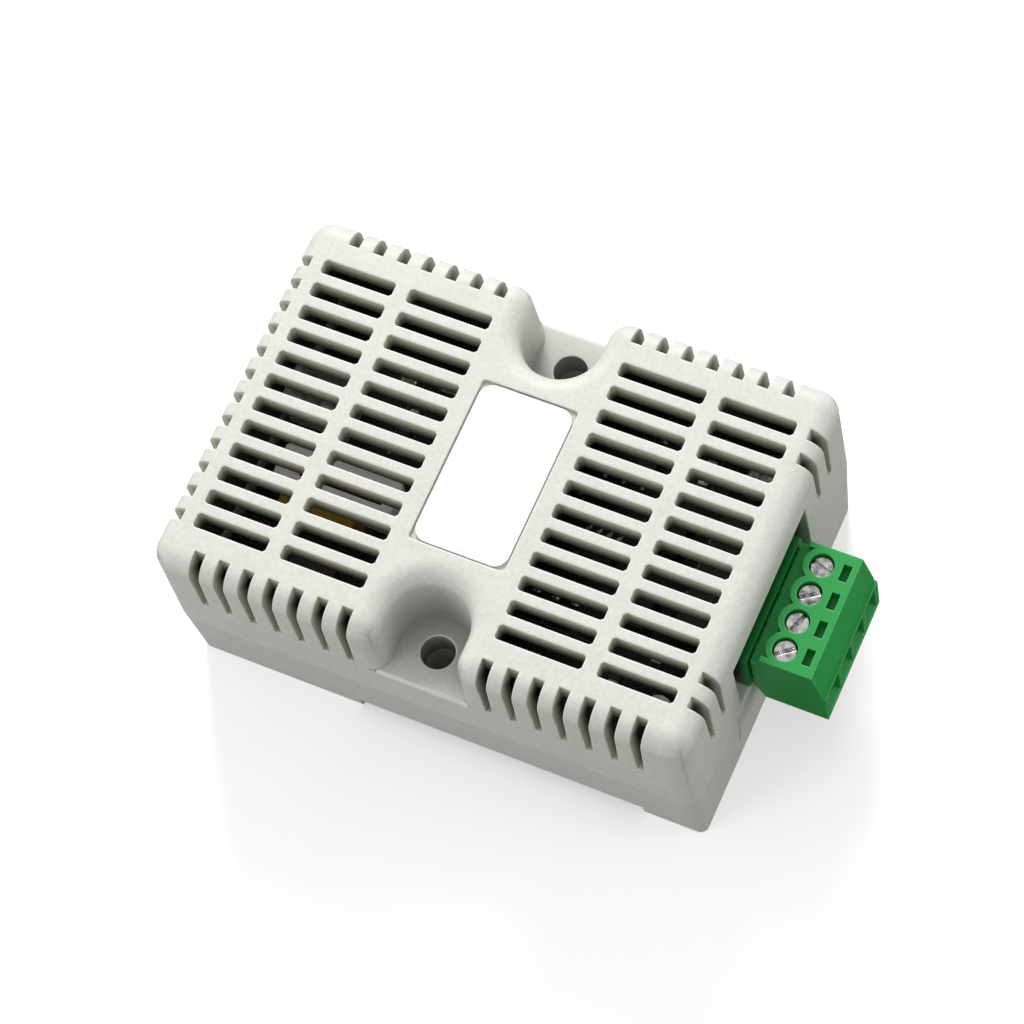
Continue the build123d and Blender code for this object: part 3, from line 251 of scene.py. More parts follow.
# %% [markdown]
# Colours are written as a screen shows them, because that is how a picture is measured, and
# turned into the linear light that Blender reckons in. A group is a set of nodes that several
# materials share: a change inside it reaches all of them. The solids come with plain materials,
# and dressing a solid puts a finish in their place.

# %% Colours, groups and materials
def colour(red, green, blue):
    """A colour as a screen shows it, from 0 to 255, turned into linear light: a part below 0.04
    is divided by 12.92, and any other is ((part + 0.055) / 1.055) to the power 2.4."""
    part = np.array([red, green, blue]) / 255.0
    light = np.where(part <= 0.04045, part / 12.92, ((part + 0.055) / 1.055) ** 2.4)
    return (*light.tolist(), 1.0)


def group(name, inputs, outputs):
    """A shader group with named inputs, as (kind, name, value), and outputs, as (kind, name)."""
    tree = bpy.data.node_groups.new(name, "ShaderNodeTree")
    for kind, label, value in inputs:
        socket = tree.interface.new_socket(label, in_out="INPUT", socket_type=kind)
        if value is not None:
            socket.default_value = value
    for kind, label in outputs:
        tree.interface.new_socket(label, in_out="OUTPUT", socket_type=kind)
    recipe = Recipe(tree)
    return recipe, recipe.add("NodeGroupInput").outputs, recipe.add("NodeGroupOutput")


def principled(material):
    """The Principled shader of a material."""
    return material.node_tree.nodes["Principled BSDF"]


def finish(name):
    """A new material, its recipe and its Principled shader."""
    material = bpy.data.materials.new(name)
    material.use_nodes = True
    return material, Recipe(material.node_tree), principled(material)


def dress(material, *nodes):
    """Gives solids a material in place of the one that they came with."""
    for node in nodes:
        piece = frame["nodes"][node]
        piece.data.materials.clear()
        piece.data.materials.append(material)
    print(material.name, "on", ", ".join(nodes))


print("middle grey in linear light:", round(colour(128, 128, 128)[0], 3))


# %% [markdown]
# ### Rounded edges
# Moulded plastic has no sharp edge: the tool and the cooling leave a radius of a tenth or two
# of a millimetre, and it catches the light as a thin bright line. A Bevel modifier would need
# new meshes for the solids. The Bevel node bends only the shading, on any mesh, and how far it
# bends it tells where the edges are; there the colour turns paler, a painted highlight. Inward
# corners are bent too, but get no painted highlight: the Ambient Occlusion node finds a wall
# close by there, and takes them off the list.

# %% A group for rounded edges
wall_search_radii = 3.0
open_air_from = 0.75
highlight_gain = 6.0
edges, given, result = group(
    "rounded edges",
    [("NodeSocketFloat", "Radius", 0.2)],
    [("NodeSocketVector", "Normal"), ("NodeSocketFloat", "Edge")],
)
bent = edges.add(
    "ShaderNodeBevel", {"Radius": edges.math("MULTIPLY", given["Radius"], mm)}, samples=6
).outputs["Normal"]
straight = edges.add("ShaderNodeNewGeometry").outputs["Normal"]
agreement = edges.add("ShaderNodeVectorMath", {0: bent, 1: straight}, operation="DOT_PRODUCT")
turned = edges.math("SUBTRACT", 1.0, agreement.outputs["Value"], clamp=True)
near_air = edges.add(
    "ShaderNodeAmbientOcclusion",
    {"Distance": edges.math("MULTIPLY", given["Radius"], wall_search_radii * mm)},
    samples=4,
).outputs["AO"]
past_open = edges.math("SUBTRACT", near_air, open_air_from)
outward = edges.math("MULTIPLY", past_open, 1.0 / (1.0 - open_air_from), clamp=True)
# Painted highlight: on outward edges, the more the shading is bent, the paler the colour.
painted_edge_highlight = edges.math("MULTIPLY", edges.math("MULTIPLY", turned, highlight_gain, clamp=True), outward)
edges.feed(result, {"Normal": bent, "Edge": painted_edge_highlight})
rounded_edges = edges.tree
print("rounded edges:", len(rounded_edges.nodes), "nodes")

# %% [markdown]
# ### Moulded grain
# A spark-eroded mould leaves a fine even grain, and the plastic itself is a little cloudy. A
# photograph of plastic could be wrapped round the case, but it would show seams. Two noises do
# this in every direction alike: a fine one for bumps and a broad one for tone, both on the
# piece's own coordinates. A noise keeps mostly to the values between 0.3 and 0.7, so the ramps
# that read one start and end there.

# %% A group for moulded grain
noise_low, noise_high = 0.3, 0.7
grain_height = 0.02 * mm
grain, given, result = group(
    "moulded grain",
    [
        ("NodeSocketFloat", "Grains per mm", 5.0),
        ("NodeSocketFloat", "Depth", 0.2),
        ("NodeSocketFloat", "Cloud size", 6.0),
        ("NodeSocketVector", "Normal", None),
    ],
    [("NodeSocketVector", "Normal"), ("NodeSocketFloat", "Cloud"), ("NodeSocketFloat", "Speckle")],
)
where = grain.own_place()
fine = grain.noise(where, grain.math("DIVIDE", given["Grains per mm"], mm), 2.0, 0.6)
broad = grain.noise(where, grain.math("DIVIDE", 1.0 / mm, given["Cloud size"]), 3.0, 0.55)
bumps = grain.bump(fine, given["Depth"], grain_height, given["Normal"])
grain.feed(result, {"Normal": bumps, "Cloud": broad, "Speckle": fine})
moulded_grain = grain.tree
print("moulded grain:", len(moulded_grain.nodes), "nodes")


# %% [markdown]
# ### The cover's inner side
# Seen through the slots, the inside of the cover is almost black: hardly any light gets in, and
# the walls of each slot fade from grey to black on their way down. The light in the scene does a
# part of this by itself. The rest is painted shade. It could be painted on by hand, point by
# point; a mask worked out from distances needs no such painting, and it holds from every side.
# The first helper below works out the distances, and the next two make painted shade of them:
# one for the cover, and a simpler one for the terminal header, which is painted dark wherever
# it is inside the end wall.

# %% Painted shade inside the case
cover_high = np.array(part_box("top_cover")[1])
mounts = {mount["name"]: mount for mount in frame["record"]["mounts"]}
hole_offset = mounts["wall_screws"]["dims"]["spacing_y_mm"] / 2 * mm
hole_radius = mounts["wall_screws"]["dims"]["hole_r_mm"] * mm
wall_depth, wall_full = 2.0 * mm, 0.8 * mm
roof_depth, roof_full = 2.8 * mm, 0.84 * mm
tube_depth, tube_full = 0.8 * mm, 0.3 * mm
notch_reach, notch_full = 6.1 * mm, 5.185 * mm
ledge_level = 18.3 * mm


def distances(recipe):
    """Five distances in the case. Along is |x|, across is |y| and level is z. Reach is the
    distance from a U in each notch: the root of x squared plus the square of how far |y| falls
    short of the screw hole. Bore is the distance from the axis of the screw hole."""
    place = recipe.split(recipe.own_place())
    along = recipe.math("ABSOLUTE", place["X"])
    across = recipe.math("ABSOLUTE", place["Y"])
    off = recipe.math("SUBTRACT", hole_offset, across)
    short = recipe.math("MAXIMUM", off, 0.0)
    squared = recipe.math("MULTIPLY", along, along)
    reach = recipe.math("SQRT", recipe.math("ADD", squared, recipe.math("MULTIPLY", short, short)))
    bore = recipe.math("SQRT", recipe.math("ADD", squared, recipe.math("MULTIPLY", off, off)))
    return {"along": along, "across": across, "level": place["Z"], "reach": reach, "bore": bore}


def cover_painted_shade(recipe, darkest):
    """Painted shade: a grey that is 1 on the cover's outside and darkest on its inside, where it
    darkens the colour. It takes the largest of five ramps: through the end walls, through the long
    walls, through the roof, round the screw holes, and through the notch walls above the ledge.
    Each ramp is 0 at its depth and 1 at its full value."""
    far = distances(recipe)
    ends = recipe.rise(far["along"], cover_high[0] - wall_depth, cover_high[0] - wall_full)
    sides = recipe.rise(far["across"], cover_high[1] - wall_depth, cover_high[1] - wall_full)
    top = recipe.rise(far["level"], cover_high[2] - roof_depth, cover_high[2] - roof_full)
    tube = recipe.rise(far["bore"], hole_radius + tube_depth, hole_radius + tube_full)
    above_ledge = recipe.math("GREATER_THAN", far["level"], ledge_level)
    in_notch = recipe.rise(far["reach"], notch_reach, notch_full)
    notch = recipe.math("MULTIPLY", in_notch, above_ledge)
    outside = recipe.math("MAXIMUM", ends, sides)
    for other in (top, notch, tube):
        outside = recipe.math("MAXIMUM", outside, other)
    return recipe.rise(outside, 0.0, 1.0, darkest)


def header_painted_shade(recipe, darkest):
    """Painted shade: a grey that is 1 outside the case's end wall and darkest behind it, by a ramp
    on x.
    """
    place = recipe.split(recipe.own_place())
    return recipe.rise(place["X"], cover_high[0] - 0.5 * wall_depth, cover_high[0], darkest)


print("cover top:", round(cover_high[2] / mm, 2), "mm, holes at", round(hole_offset / mm, 2), "mm")

# %% [markdown]
# ### Painted shade in hollows
# The two screw notches see little of the sky, so they look darker than the roof, and light that
# comes back from the walls of a slot has turned a little warm. The lamps and the sky do most of
# this. Stronger lamps would do more of it, but they would change the roof and the walls as well.
# The Ambient Occlusion node tells how much of the sky a point sees, and two ramps turn that
# share into painted shade for the notches and a painted warm tint for the slots.

# %% Painted shade in hollows
sky_distance = 9.0 * mm
sky_hidden, sky_open = 0.2, 0.85
warm_tint = (0.82, 0.80, 0.68, 1.0)
notch_border = notch_reach + 2.6 * mm, notch_reach + 1.3 * mm


def hollow_shade(recipe, darkest):
    """Painted shade for hollows, by the share of the sky that they see within sky_distance. The
    notches get painted shade down to darkest, and the walls of the slots only a painted warm tint."""
    sky = recipe.add("ShaderNodeAmbientOcclusion", {"Distance": sky_distance}, samples=8)
    seen_share = sky.outputs["AO"]
    notch_painted_shade = recipe.ramp(seen_share, [(sky_hidden, darkest), (sky_open, 1.0)])
    warmth = recipe.ramp(seen_share, [(sky_hidden, warm_tint), (sky_open, 1.0)])
    in_notch = recipe.rise(distances(recipe)["reach"], *notch_border)
    return recipe.mix(in_notch, warmth, notch_painted_shade)


print("notch border:", [round(value / mm, 1) for value in notch_border], "mm")


# %% [markdown]
# ### Plastics
# The case, the latch, the green terminal pieces and the white pieces differ in colour, gloss
# and grain, but are made alike: a base tone, clouded a little, with a painted highlight along
# rounded edges. One material could be made for each by hand. One function with a value for
# each difference keeps them alike, and a change to the way plastic looks is made once.


# %% A plastic
roughness_play = 0.05
speckle_low, speckle_high = 0.35, 0.65
wander_depth = 0.6 * mm


def plastic(
    name, tone, painted_highlight_tone, roughness, radius=0.2, grains=5.0, depth=0.25, cloud=6.0,
    cloud_share=0.10, speckle_share=0.04, glow=0.0, painted_highlight_share=0.6, mask=None, inner_painted_shade=1.0,
    painted_hollow_share=0.0,
):
    """A moulded plastic. The tone darkens by cloud_share where the cloud is thin and by
    speckle_share between the grains, and turns towards painted_highlight_tone by
    painted_highlight_share along the edges:
    a painted highlight. Roughness rises with the speckle. A mask function paints shade on what
    lies inside the case, to the share of inner_painted_shade. Hollows that see little of the sky
    get painted shade of up to painted_hollow_share. Glow is the share of light that wanders
    through the plastic."""
    material, recipe, shader = finish(name)
    rounding = recipe.add("ShaderNodeGroup", {"Radius": radius}, node_tree=rounded_edges).outputs
    texture = recipe.add(
        "ShaderNodeGroup",
        {
            "Grains per mm": grains,
            "Depth": depth,
            "Cloud size": cloud,
            "Normal": rounding["Normal"],
        },
        node_tree=moulded_grain,
    ).outputs
    clouds = recipe.ramp(texture["Cloud"], [(noise_low, 1.0 - cloud_share), (noise_high, 1.0)])
    speckle_stops = [(speckle_low, 1.0 - speckle_share), (speckle_high, 1.0)]
    freckles = recipe.ramp(texture["Speckle"], speckle_stops)
    shade = recipe.tint(clouds, freckles)
    # Painted shade in hollows: darker where less of the sky is seen.
    if painted_hollow_share:
        shade = recipe.tint(shade, hollow_shade(recipe, 1.0 - painted_hollow_share))
    # Painted shade: the mask darkens the colour of what lies inside the case.
    if mask:
        painted_shade_grey = mask(recipe, inner_painted_shade)
        shade = recipe.tint(shade, painted_shade_grey)
        painted_highlight_tone = recipe.tint(painted_highlight_tone, painted_shade_grey)
    # Painted highlight: the colour turns paler along outward edges.
    edge = recipe.math("MULTIPLY", rounding["Edge"], painted_highlight_share)
    smooth, dull = roughness - roughness_play, roughness + roughness_play
    recipe.feed(
        shader,
        {
            "Base Color": recipe.mix(edge, recipe.tint(tone, shade), painted_highlight_tone),
            "Roughness": recipe.rise(texture["Speckle"], noise_low, noise_high, smooth, dull),
            "Normal": texture["Normal"],
            "IOR": 1.5,
        },
    )
    if glow:
        recipe.feed(
            shader,
            {
                "Subsurface Weight": glow,
                "Subsurface Radius": (1.0, 1.0, 1.0),
                "Subsurface Scale": wander_depth,
            },
        )
    return material


# %% [markdown]
# The base and the cover come from the same plastic, with the coarse grain of a cheap tool. Only
# the cover has slots, so only it gets painted shade on its inside and in its hollows.

# %% Case and latch
# painted_highlight_tone and painted_highlight_share paint a highlight along the rounded edges.
case_look = {
    "tone": colour(218, 219, 211), "painted_highlight_tone": colour(250, 250, 246), "roughness": 0.52,
    "grains": 2.2, "depth": 0.5, "cloud": 2.5, "cloud_share": 0.05, "speckle_share": 0.09,
    "painted_highlight_share": 0.8,
}
base_grey = plastic("base plastic", radius=0.3, **case_look)
cover_grey = plastic(
    "cover plastic", radius=0.35, mask=cover_painted_shade, inner_painted_shade=0.12, painted_hollow_share=0.6, **case_look
)
latch_grey = plastic(
    "latch plastic", colour(205, 204, 198), colour(235, 235, 230), 0.45, radius=0.15,
    depth=0.3, cloud=4.0, cloud_share=0.06,
)
dress(base_grey, "base_shell")
dress(cover_grey, "top_cover")
dress(latch_grey, "din_latch")

# %% [markdown]
# The plug and its header are a clear green with a satin gloss, and a painted highlight on their
# edges; the header also gets painted shade where it lies behind the end wall. The small white,
# black and yellow parts are seen through the slots only. The thin cap over the sensor gets a
# faint glow in place of light that wanders inside it, which would cost a long render for so
# small a piece: the glow is painted light that brightens it.

# %% Terminals and small plastic parts
satin = {"grains": 7.0, "depth": 0.12}
terminal_green = plastic(
    "terminal plastic", colour(10, 158, 64), colour(96, 212, 130), 0.42, cloud=5.0,
    painted_highlight_share=0.9, **satin,
)
# The header gets painted shade where it lies behind the end wall.
header_green = plastic(
    "header plastic", colour(7, 142, 54), colour(60, 186, 98), 0.38, radius=0.15,
    cloud=5.0, cloud_share=0.12, mask=header_painted_shade, inner_painted_shade=0.10, **satin,
)
part_white = plastic(
    "white plastic", colour(205, 203, 192), colour(228, 226, 216), 0.42, radius=0.12,
    cloud=3.0, cloud_share=0.08, **satin,
)
cap_white = plastic(
    "sensor cap", colour(250, 249, 243), colour(255, 255, 252), 0.42, radius=0.12,
    cloud=3.0, cloud_share=0.08, **satin,
)
# Painted light: a faint glow brightens the sensor cap.
cap_painted_glow = {"Emission Color": colour(250, 249, 240), "Emission Strength": 0.05}
Recipe(cap_white.node_tree).feed(principled(cap_white), cap_painted_glow)
chip_black = plastic(
    "chip resin", colour(20, 20, 22), colour(56, 56, 58), 0.5, radius=0.08,
    grains=14.0, depth=0.4, cloud=1.5, cloud_share=0.2, painted_highlight_share=0.35,
)
film_yellow = plastic(
    "yellow capacitor box", colour(172, 134, 30), colour(206, 176, 88), 0.3, radius=0.15,
    depth=0.1, cloud=3.0, cloud_share=0.12,
)
chips = ("microcontroller", "transceiver", "regulator")
dress(terminal_green, "plug_body")
dress(header_green, "terminal_header")
dress(part_white, "link_connector")
dress(cap_white, "sensor_cap")
dress(chip_black, *chips, "clamp_diodes", "capacitor_base", "sensor_chip")
dress(film_yellow, "film_capacitor")

# %% [markdown]
# ### The label
# The label is a bare white film, smoother than the case round it. A picture would be the usual
# way to print a label, but this one is blank, so a faint cloud of paper fibre is all it needs.

# %% Label film
label_white, recipe, shader = finish("label film")
fibre = recipe.noise(recipe.own_place(), 0.8 / mm, 4.0)
film_tones = [(noise_low, colour(234, 234, 234)), (noise_high, colour(242, 242, 242))]
recipe.feed(
    shader,
    {
        "Base Color": recipe.ramp(fibre, film_tones),
        "Roughness": 0.35,
        "Normal": recipe.bump(fibre, 0.1, 0.01 * mm),
    },
)
dress(label_white, "label_plate")


# %% [markdown]
# ### Metals
# The screws are bright plated steel with fine turning marks, the pins and leads are tinned, the
# clamps are nickel over brass and the cans are drawn aluminium. The Anisotropic value could
# stretch their highlights, but it would show no marks close up. A stretched noise gives the
# marks, and a broad one the slight stains that plating always has. On the terminal screws the
# broad one is dark and strong: painted reflection, for the mottled look of chrome.


# %% A metal
even = (1.0, 1.0, 1.0)
stain_low, stain_high = 0.42, 0.72
mark_height = 0.01 * mm


def metal(
    name, tone, stain_and_painted_reflection, roughness, marks=(1.0, 1.0, 12.0), scale=6.0, depth=0.15, radius=0.08,
    stain_scale=0.7,
):
    """A plated metal. The marks are a noise squeezed along the axes by the given factors, and
    scale is how many there are to a millimetre."""
    material, recipe, shader = finish(name)
    rounding = recipe.add("ShaderNodeGroup", {"Radius": radius}, node_tree=rounded_edges).outputs
    where = recipe.own_place()
    squeezed = recipe.add("ShaderNodeMapping", {"Vector": where, "Scale": marks})
    scratches = recipe.noise(squeezed.outputs["Vector"], scale / mm, 3.0)
    stains = recipe.noise(where, stain_scale / mm, 3.0)
    stained = recipe.ramp(stains, [(stain_low, 0.0), (stain_high, 1.0)])
    smooth, dull = roughness - 0.08, roughness + 0.10
    recipe.feed(
        shader,
        {
            "Base Color": recipe.mix(stained, tone, stain_and_painted_reflection),
            "Roughness": recipe.rise(scratches, noise_low, noise_high, smooth, dull),
            "Normal": recipe.bump(scratches, depth, mark_height, rounding["Normal"]),
            "Metallic": 1.0,
        },
    )
    return material


screw_steel = metal("plated steel", colour(214, 213, 210), colour(182, 180, 174), 0.30)
# The dark stain tone of the terminal screws is painted reflection, for their mottled chrome.
screw_chrome = metal(
    "terminal screw plating", colour(222, 222, 220), colour(84, 84, 82), 0.22, marks=even,
    scale=2.2, depth=0.9, radius=0.12, stain_scale=1.3,
)
tinned = metal("tinned metal", colour(206, 204, 198), colour(170, 166, 156), 0.35)
nickel = metal("nickel plate", colour(205, 200, 186), colour(176, 168, 146), 0.32)
can_metal = metal(
    "drawn can", colour(216, 217, 219), colour(190, 191, 194), 0.30, marks=(12.0, 12.0, 1.0)
)
clamp_numbers = range(1, 5)
dress(screw_steel, "board_screws")
dress(screw_chrome, *[f"clamp_screw_{n}" for n in clamp_numbers])
dress(nickel, *[f"wire_clamp_{n}" for n in clamp_numbers])
dress(tinned, "header_pins", "plug_contacts", "connector_pins", "chip_leads")
dress(can_metal, "crystal")

# %% [markdown]
# The can of the big capacitor has a dark segment on its top over its negative side. A second
# piece on top would do, but two comparisons in a copy of the can's metal need no new mesh: one
# picks the side, and the other picks the top face.

# %% The marked can
segment_width = 1.7 * mm
top_depth = 0.05 * mm
can_low, can_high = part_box("bulk_capacitor")
marked_can = can_metal.copy()
recipe, shader = Recipe(marked_can.node_tree), principled(marked_can)
place = recipe.split(recipe.own_place())
on_side = recipe.math("LESS_THAN", place["X"], can_low[0] + segment_width)
on_top = recipe.math("GREATER_THAN", place["Z"], can_high[2] - top_depth)
segment = recipe.math("MULTIPLY", on_side, on_top)
bare = shader.inputs["Base Color"].links[0].from_socket
recipe.feed(
    shader,
    {
        "Base Color": recipe.mix(segment, bare, colour(34, 34, 38)),
        "Metallic": recipe.math("SUBTRACT", 1.0, segment),
    },
)
dress(marked_can, "bulk_capacitor")

# %% [markdown]
# ### The board
# Solder mask is a green varnish over copper. Where a track runs under it the varnish is lighter.
# Real tracks run one by one to their pins, but through the slots no one can follow them. The
# tracks here are the joints of a brick pattern, which gives runs and corners at a board's usual
# pitch. Small round holes, lined with tin, lie at the middles of loosely spread cells. The cut
# edge of the board, where the surface faces neither up nor down, shows its pale glass fibre.

# %% Board finish
via_share = 0.085
flat_from = 0.5
board_green, recipe, shader = finish("solder mask")
where = recipe.own_place()
tracks = recipe.add(
    "ShaderNodeTexBrick",
    {
        "Vector": where,
        "Color1": (0.0, 0.0, 0.0, 1.0),
        "Color2": (0.0, 0.0, 0.0, 1.0),
        "Mortar": (1.0, 1.0, 1.0, 1.0),
        "Scale": 0.32 / mm,
        "Mortar Size": 0.045,
        "Mortar Smooth": 0.1,
        "Brick Width": 1.7,
        "Row Height": 0.55,
    },
).outputs["Color"]
cells = recipe.add(
    "ShaderNodeTexVoronoi", {"Vector": where, "Scale": 0.34 / mm, "Randomness": 0.8}
)
vias = recipe.math("LESS_THAN", cells.outputs["Distance"], via_share)
varnish = recipe.mix(tracks, colour(4, 24, 15), colour(10, 40, 25))
face = recipe.mix(vias, varnish, colour(150, 146, 118))
facing = recipe.split(recipe.add("ShaderNodeNewGeometry").outputs["Normal"])
flat = recipe.math("GREATER_THAN", recipe.math("ABSOLUTE", facing["Z"]), flat_from)
recipe.feed(
    shader,
    {
        "Base Color": recipe.mix(flat, colour(112, 108, 70), face),
        "Roughness": 0.34,
        "Specular IOR Level": 0.3,
        "Normal": recipe.bump(tracks, 0.4, 0.03 * mm),
    },
)
dress(board_green, "circuit_board")

# %% [markdown]
# Ferrite, glazed resistors, fired capacitors and the clear resin of the lamp are no plastics,
# but a tone, a cloud and a painted highlight on the edges describe them as well, so the same
# function makes them.

# %% Ceramic and lamp finishes
ferrite_brown = plastic(
    "ferrite", colour(70, 58, 50), colour(112, 98, 88), 0.6, radius=0.1, grains=9.0, depth=0.5,
    cloud=1.5, cloud_share=0.2,
)
resistor_black = plastic(
    "resistor glaze", colour(30, 32, 36), colour(150, 150, 148), 0.25, radius=0.1, grains=12.0,
    depth=0.1, cloud=1.0,
)
fired_tan = plastic(
    "fired ceramic", colour(150, 118, 84), colour(196, 190, 180), 0.45, radius=0.12, grains=12.0,
    depth=0.2, cloud=1.0, cloud_share=0.15,
)
lamp_red = plastic(
    "lamp resin", colour(206, 26, 20), colour(250, 110, 96), 0.15, radius=0.1, grains=9.0,
    depth=0.05, cloud=1.0, glow=0.3,
)
dress(ferrite_brown, "choke")
dress(resistor_black, "chip_resistors")
dress(fired_tan, "chip_capacitors")
dress(lamp_red, "status_led")

# %% [markdown]
# ## Small things on the board
# The pieces below are too fine for a solid. Each is a grid of points worked out by a formula,
# which is quicker to change than a hand-made mesh. The first helper joins the grid into
# four-sided faces, melts the points that meet at a pole, turns the faces outward, and has the
# piece ride on the case. The second finds the separate parts within a node, such as the twelve
# resistors, because each part gets solder and caps of its own.

# %% A helper for closed skins
weld_distance = 0.0002 * mm


def skin(name, points, material, ring=False):
    """One object from many grids of points, shaped (copies, rows, columns, 3), in metres. The
    columns close on themselves, and so do the rows of a ring. The rows of a skin that isn't a
    ring begin and end in a pole or in a point, so that the skin is shut."""
    copies, rows, columns = points.shape[:3]
    steps = rows if ring else rows - 1
    copy, row, column = np.meshgrid(
        np.arange(copies), np.arange(steps), np.arange(columns), indexing="ij"
    )
    beside = (column + 1) % columns
    here = (copy * rows + row) * columns
    there = (copy * rows + (row + 1) % rows) * columns
    quads = np.stack([here + column, here + beside, there + beside, there + column], axis=-1)
    mesh = bpy.data.meshes.new(name)
    mesh.from_pydata(points.reshape(-1, 3).tolist(), [], quads.reshape(-1, 4).tolist())
    shape = bmesh.new()
    shape.from_mesh(mesh)
    bmesh.ops.remove_doubles(shape, verts=shape.verts, dist=weld_distance)
    bmesh.ops.recalc_face_normals(shape, faces=shape.faces)
    shape.to_mesh(mesh)
    shape.free()
    mesh.polygons.foreach_set("use_smooth", np.ones(len(mesh.polygons), dtype=bool))
    mesh.materials.append(material)
    piece = bpy.data.objects.new(name, mesh)
    scene.collection.objects.link(piece)
    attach(piece, "case")
    print(name, copies, "copies,", len(mesh.polygons), "faces")


# %% A helper that finds separate parts
def loose_boxes(node):
    """The low and high corner of each separate solid of a node. Each point starts with its own
    number as a label, every triangle gives its corners the lowest label among them, and this is
    repeated until no label changes. Points of one solid then share one label."""
    mesh = frame["nodes"][node].data
    place = np.empty(len(mesh.vertices) * 3)
    mesh.vertices.foreach_get("co", place)
    place = place.reshape(-1, 3)
    corners = np.empty(len(mesh.loops), dtype=np.int64)
    mesh.loops.foreach_get("vertex_index", corners)
    _, same = np.unique(np.round(place / mm, 4), axis=0, return_inverse=True)
    same = same.reshape(-1)
    corners = same[corners].reshape(-1, 3)
    label = np.arange(same.max() + 1)
    while True:
        lowest = label[corners].min(axis=1)
        spread = label.copy()
        for side in range(3):
            np.minimum.at(spread, corners[:, side], lowest)
        if np.array_equal(spread, label):
            break
        label = spread
    solids = [place[label[same] == number] for number in np.unique(label)]
    return np.array([(points.min(axis=0), points.max(axis=0)) for points in solids])


lead_boxes = loose_boxes("chip_leads")
cap_boxes = np.concatenate([loose_boxes(node) for node in ("chip_resistors", "chip_capacitors")])
part_boxes = np.concatenate([cap_boxes, loose_boxes("clamp_diodes"), loose_boxes("status_led")])
print(len(lead_boxes), "leads,", len(part_boxes), "small parts,", len(cap_boxes), "with caps")

# %% [markdown]
# The choke is a drum of ferrite with a coil of wire round its waist. A curve with a round
# profile could make the coil, but its ends would stay open or flat. Here the coil is one tube
# that follows a helix, and its two ends close in a point under the flanges.

# %% Winding of the choke
choke_low, choke_high = (np.array(point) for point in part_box("choke"))
coil_turns, coil_points_a_turn, wire_points = 8, 28, 8
wire_radius, coil_radius = 0.2 * mm, 2.28 * mm
flange = 1.25 * mm
tapers_a_turn = 6.0


def helix_tube(middle, turns, start, end, radius, thickness):
    """A tube round a helix. The core is (cos a, sin a) * radius, rising evenly from start to end.
    The ring round the core at angle b is thickness * (cos b outward, sin b up), and thickness
    falls to nothing over the last sixth of a turn at each end: that closes the tube."""
    along = np.linspace(0.0, 1.0, turns * coil_points_a_turn + 1)[:, None]
    around = np.linspace(0.0, 2 * np.pi, wire_points, endpoint=False)[None, :]
    angle = 2 * np.pi * turns * along
    taper = np.minimum(np.minimum(along, 1.0 - along) * turns * tapers_a_turn, 1.0) ** 0.5
    out = radius + thickness * taper * np.cos(around)
    height = start + (end - start) * along + thickness * taper * np.sin(around)
    grid = np.stack([out * np.cos(angle), out * np.sin(angle), height], axis=-1)
    grid[..., :2] += middle[:2]
    return grid[None]


copper = metal("varnished copper", colour(150, 84, 44), colour(116, 58, 30), 0.34, marks=even)
coil = helix_tube(
    (choke_low + choke_high) / 2, coil_turns, choke_low[2] + flange, choke_high[2] - flange,
    coil_radius, wire_radius,
)
skin("choke_winding", coil, copper)

# %% [markdown]
# Every lead and every end of a small part sits in a little mound of solder. Half a sphere,
# scaled flat, would stand too steep at its rim. The mound is a shallow dome: its height falls
# with the square of the distance from the middle, and it is longer along the lead than across
# it.

# %% Domes, and the ends of parts
board_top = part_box("circuit_board")[1][2]
end_reach = 0.42 * mm


def mounds(places, halves, level, rise_by, rings=5, points=16):
    """Closed domes on a level: at share r of the way out, the height is rise_by * (1 - r * r).
    The rows run from the top down to the rim and back to the middle of the flat underside."""
    share = np.append(np.linspace(0.0, 1.0, rings), 0.0)
    height = np.append(1.0 - np.linspace(0.0, 1.0, rings) ** 2, 0.0)
    around = np.linspace(0.0, 2 * np.pi, points, endpoint=False)
    ring = np.stack([np.cos(around), np.sin(around)], axis=-1)
    flat = places[:, None, None] + halves[:, None, None] * share[:, None, None] * ring
    levels = np.broadcast_to(level, len(places))[:, None, None]
    up = levels + rise_by * height[None, :, None] + np.zeros((1, 1, points))
    return np.concatenate([flat, up[..., None]], axis=-1)


def ends_of(boxes):
    """The two ends of each box along its longer side: first all low ends, then all high ends.
    Gives their places on the board; half sizes in x and y, which are end_reach along that side
    and half the box's width across it; and the side itself, as 1 and 0."""
    low, high = boxes[:, 0, :2], boxes[:, 1, :2]
    middle, half = (low + high) / 2, (high - low) / 2
    along = np.where(half[:, :1] > half[:, 1:], [1.0, 0.0], [0.0, 1.0])
    places = np.concatenate([middle - half * along, middle + half * along])
    halves = half * (1.0 - along) + along * end_reach
    return places, np.tile(halves, (2, 1)), np.tile(along, (2, 1))


print("board top:", round(board_top / mm, 2), "mm")

# %% [markdown]
# The leads of a chip point away from its middle, and so does their solder. For each lead the
# nearest chip is looked up, and the mound is moved outward, away from that chip.

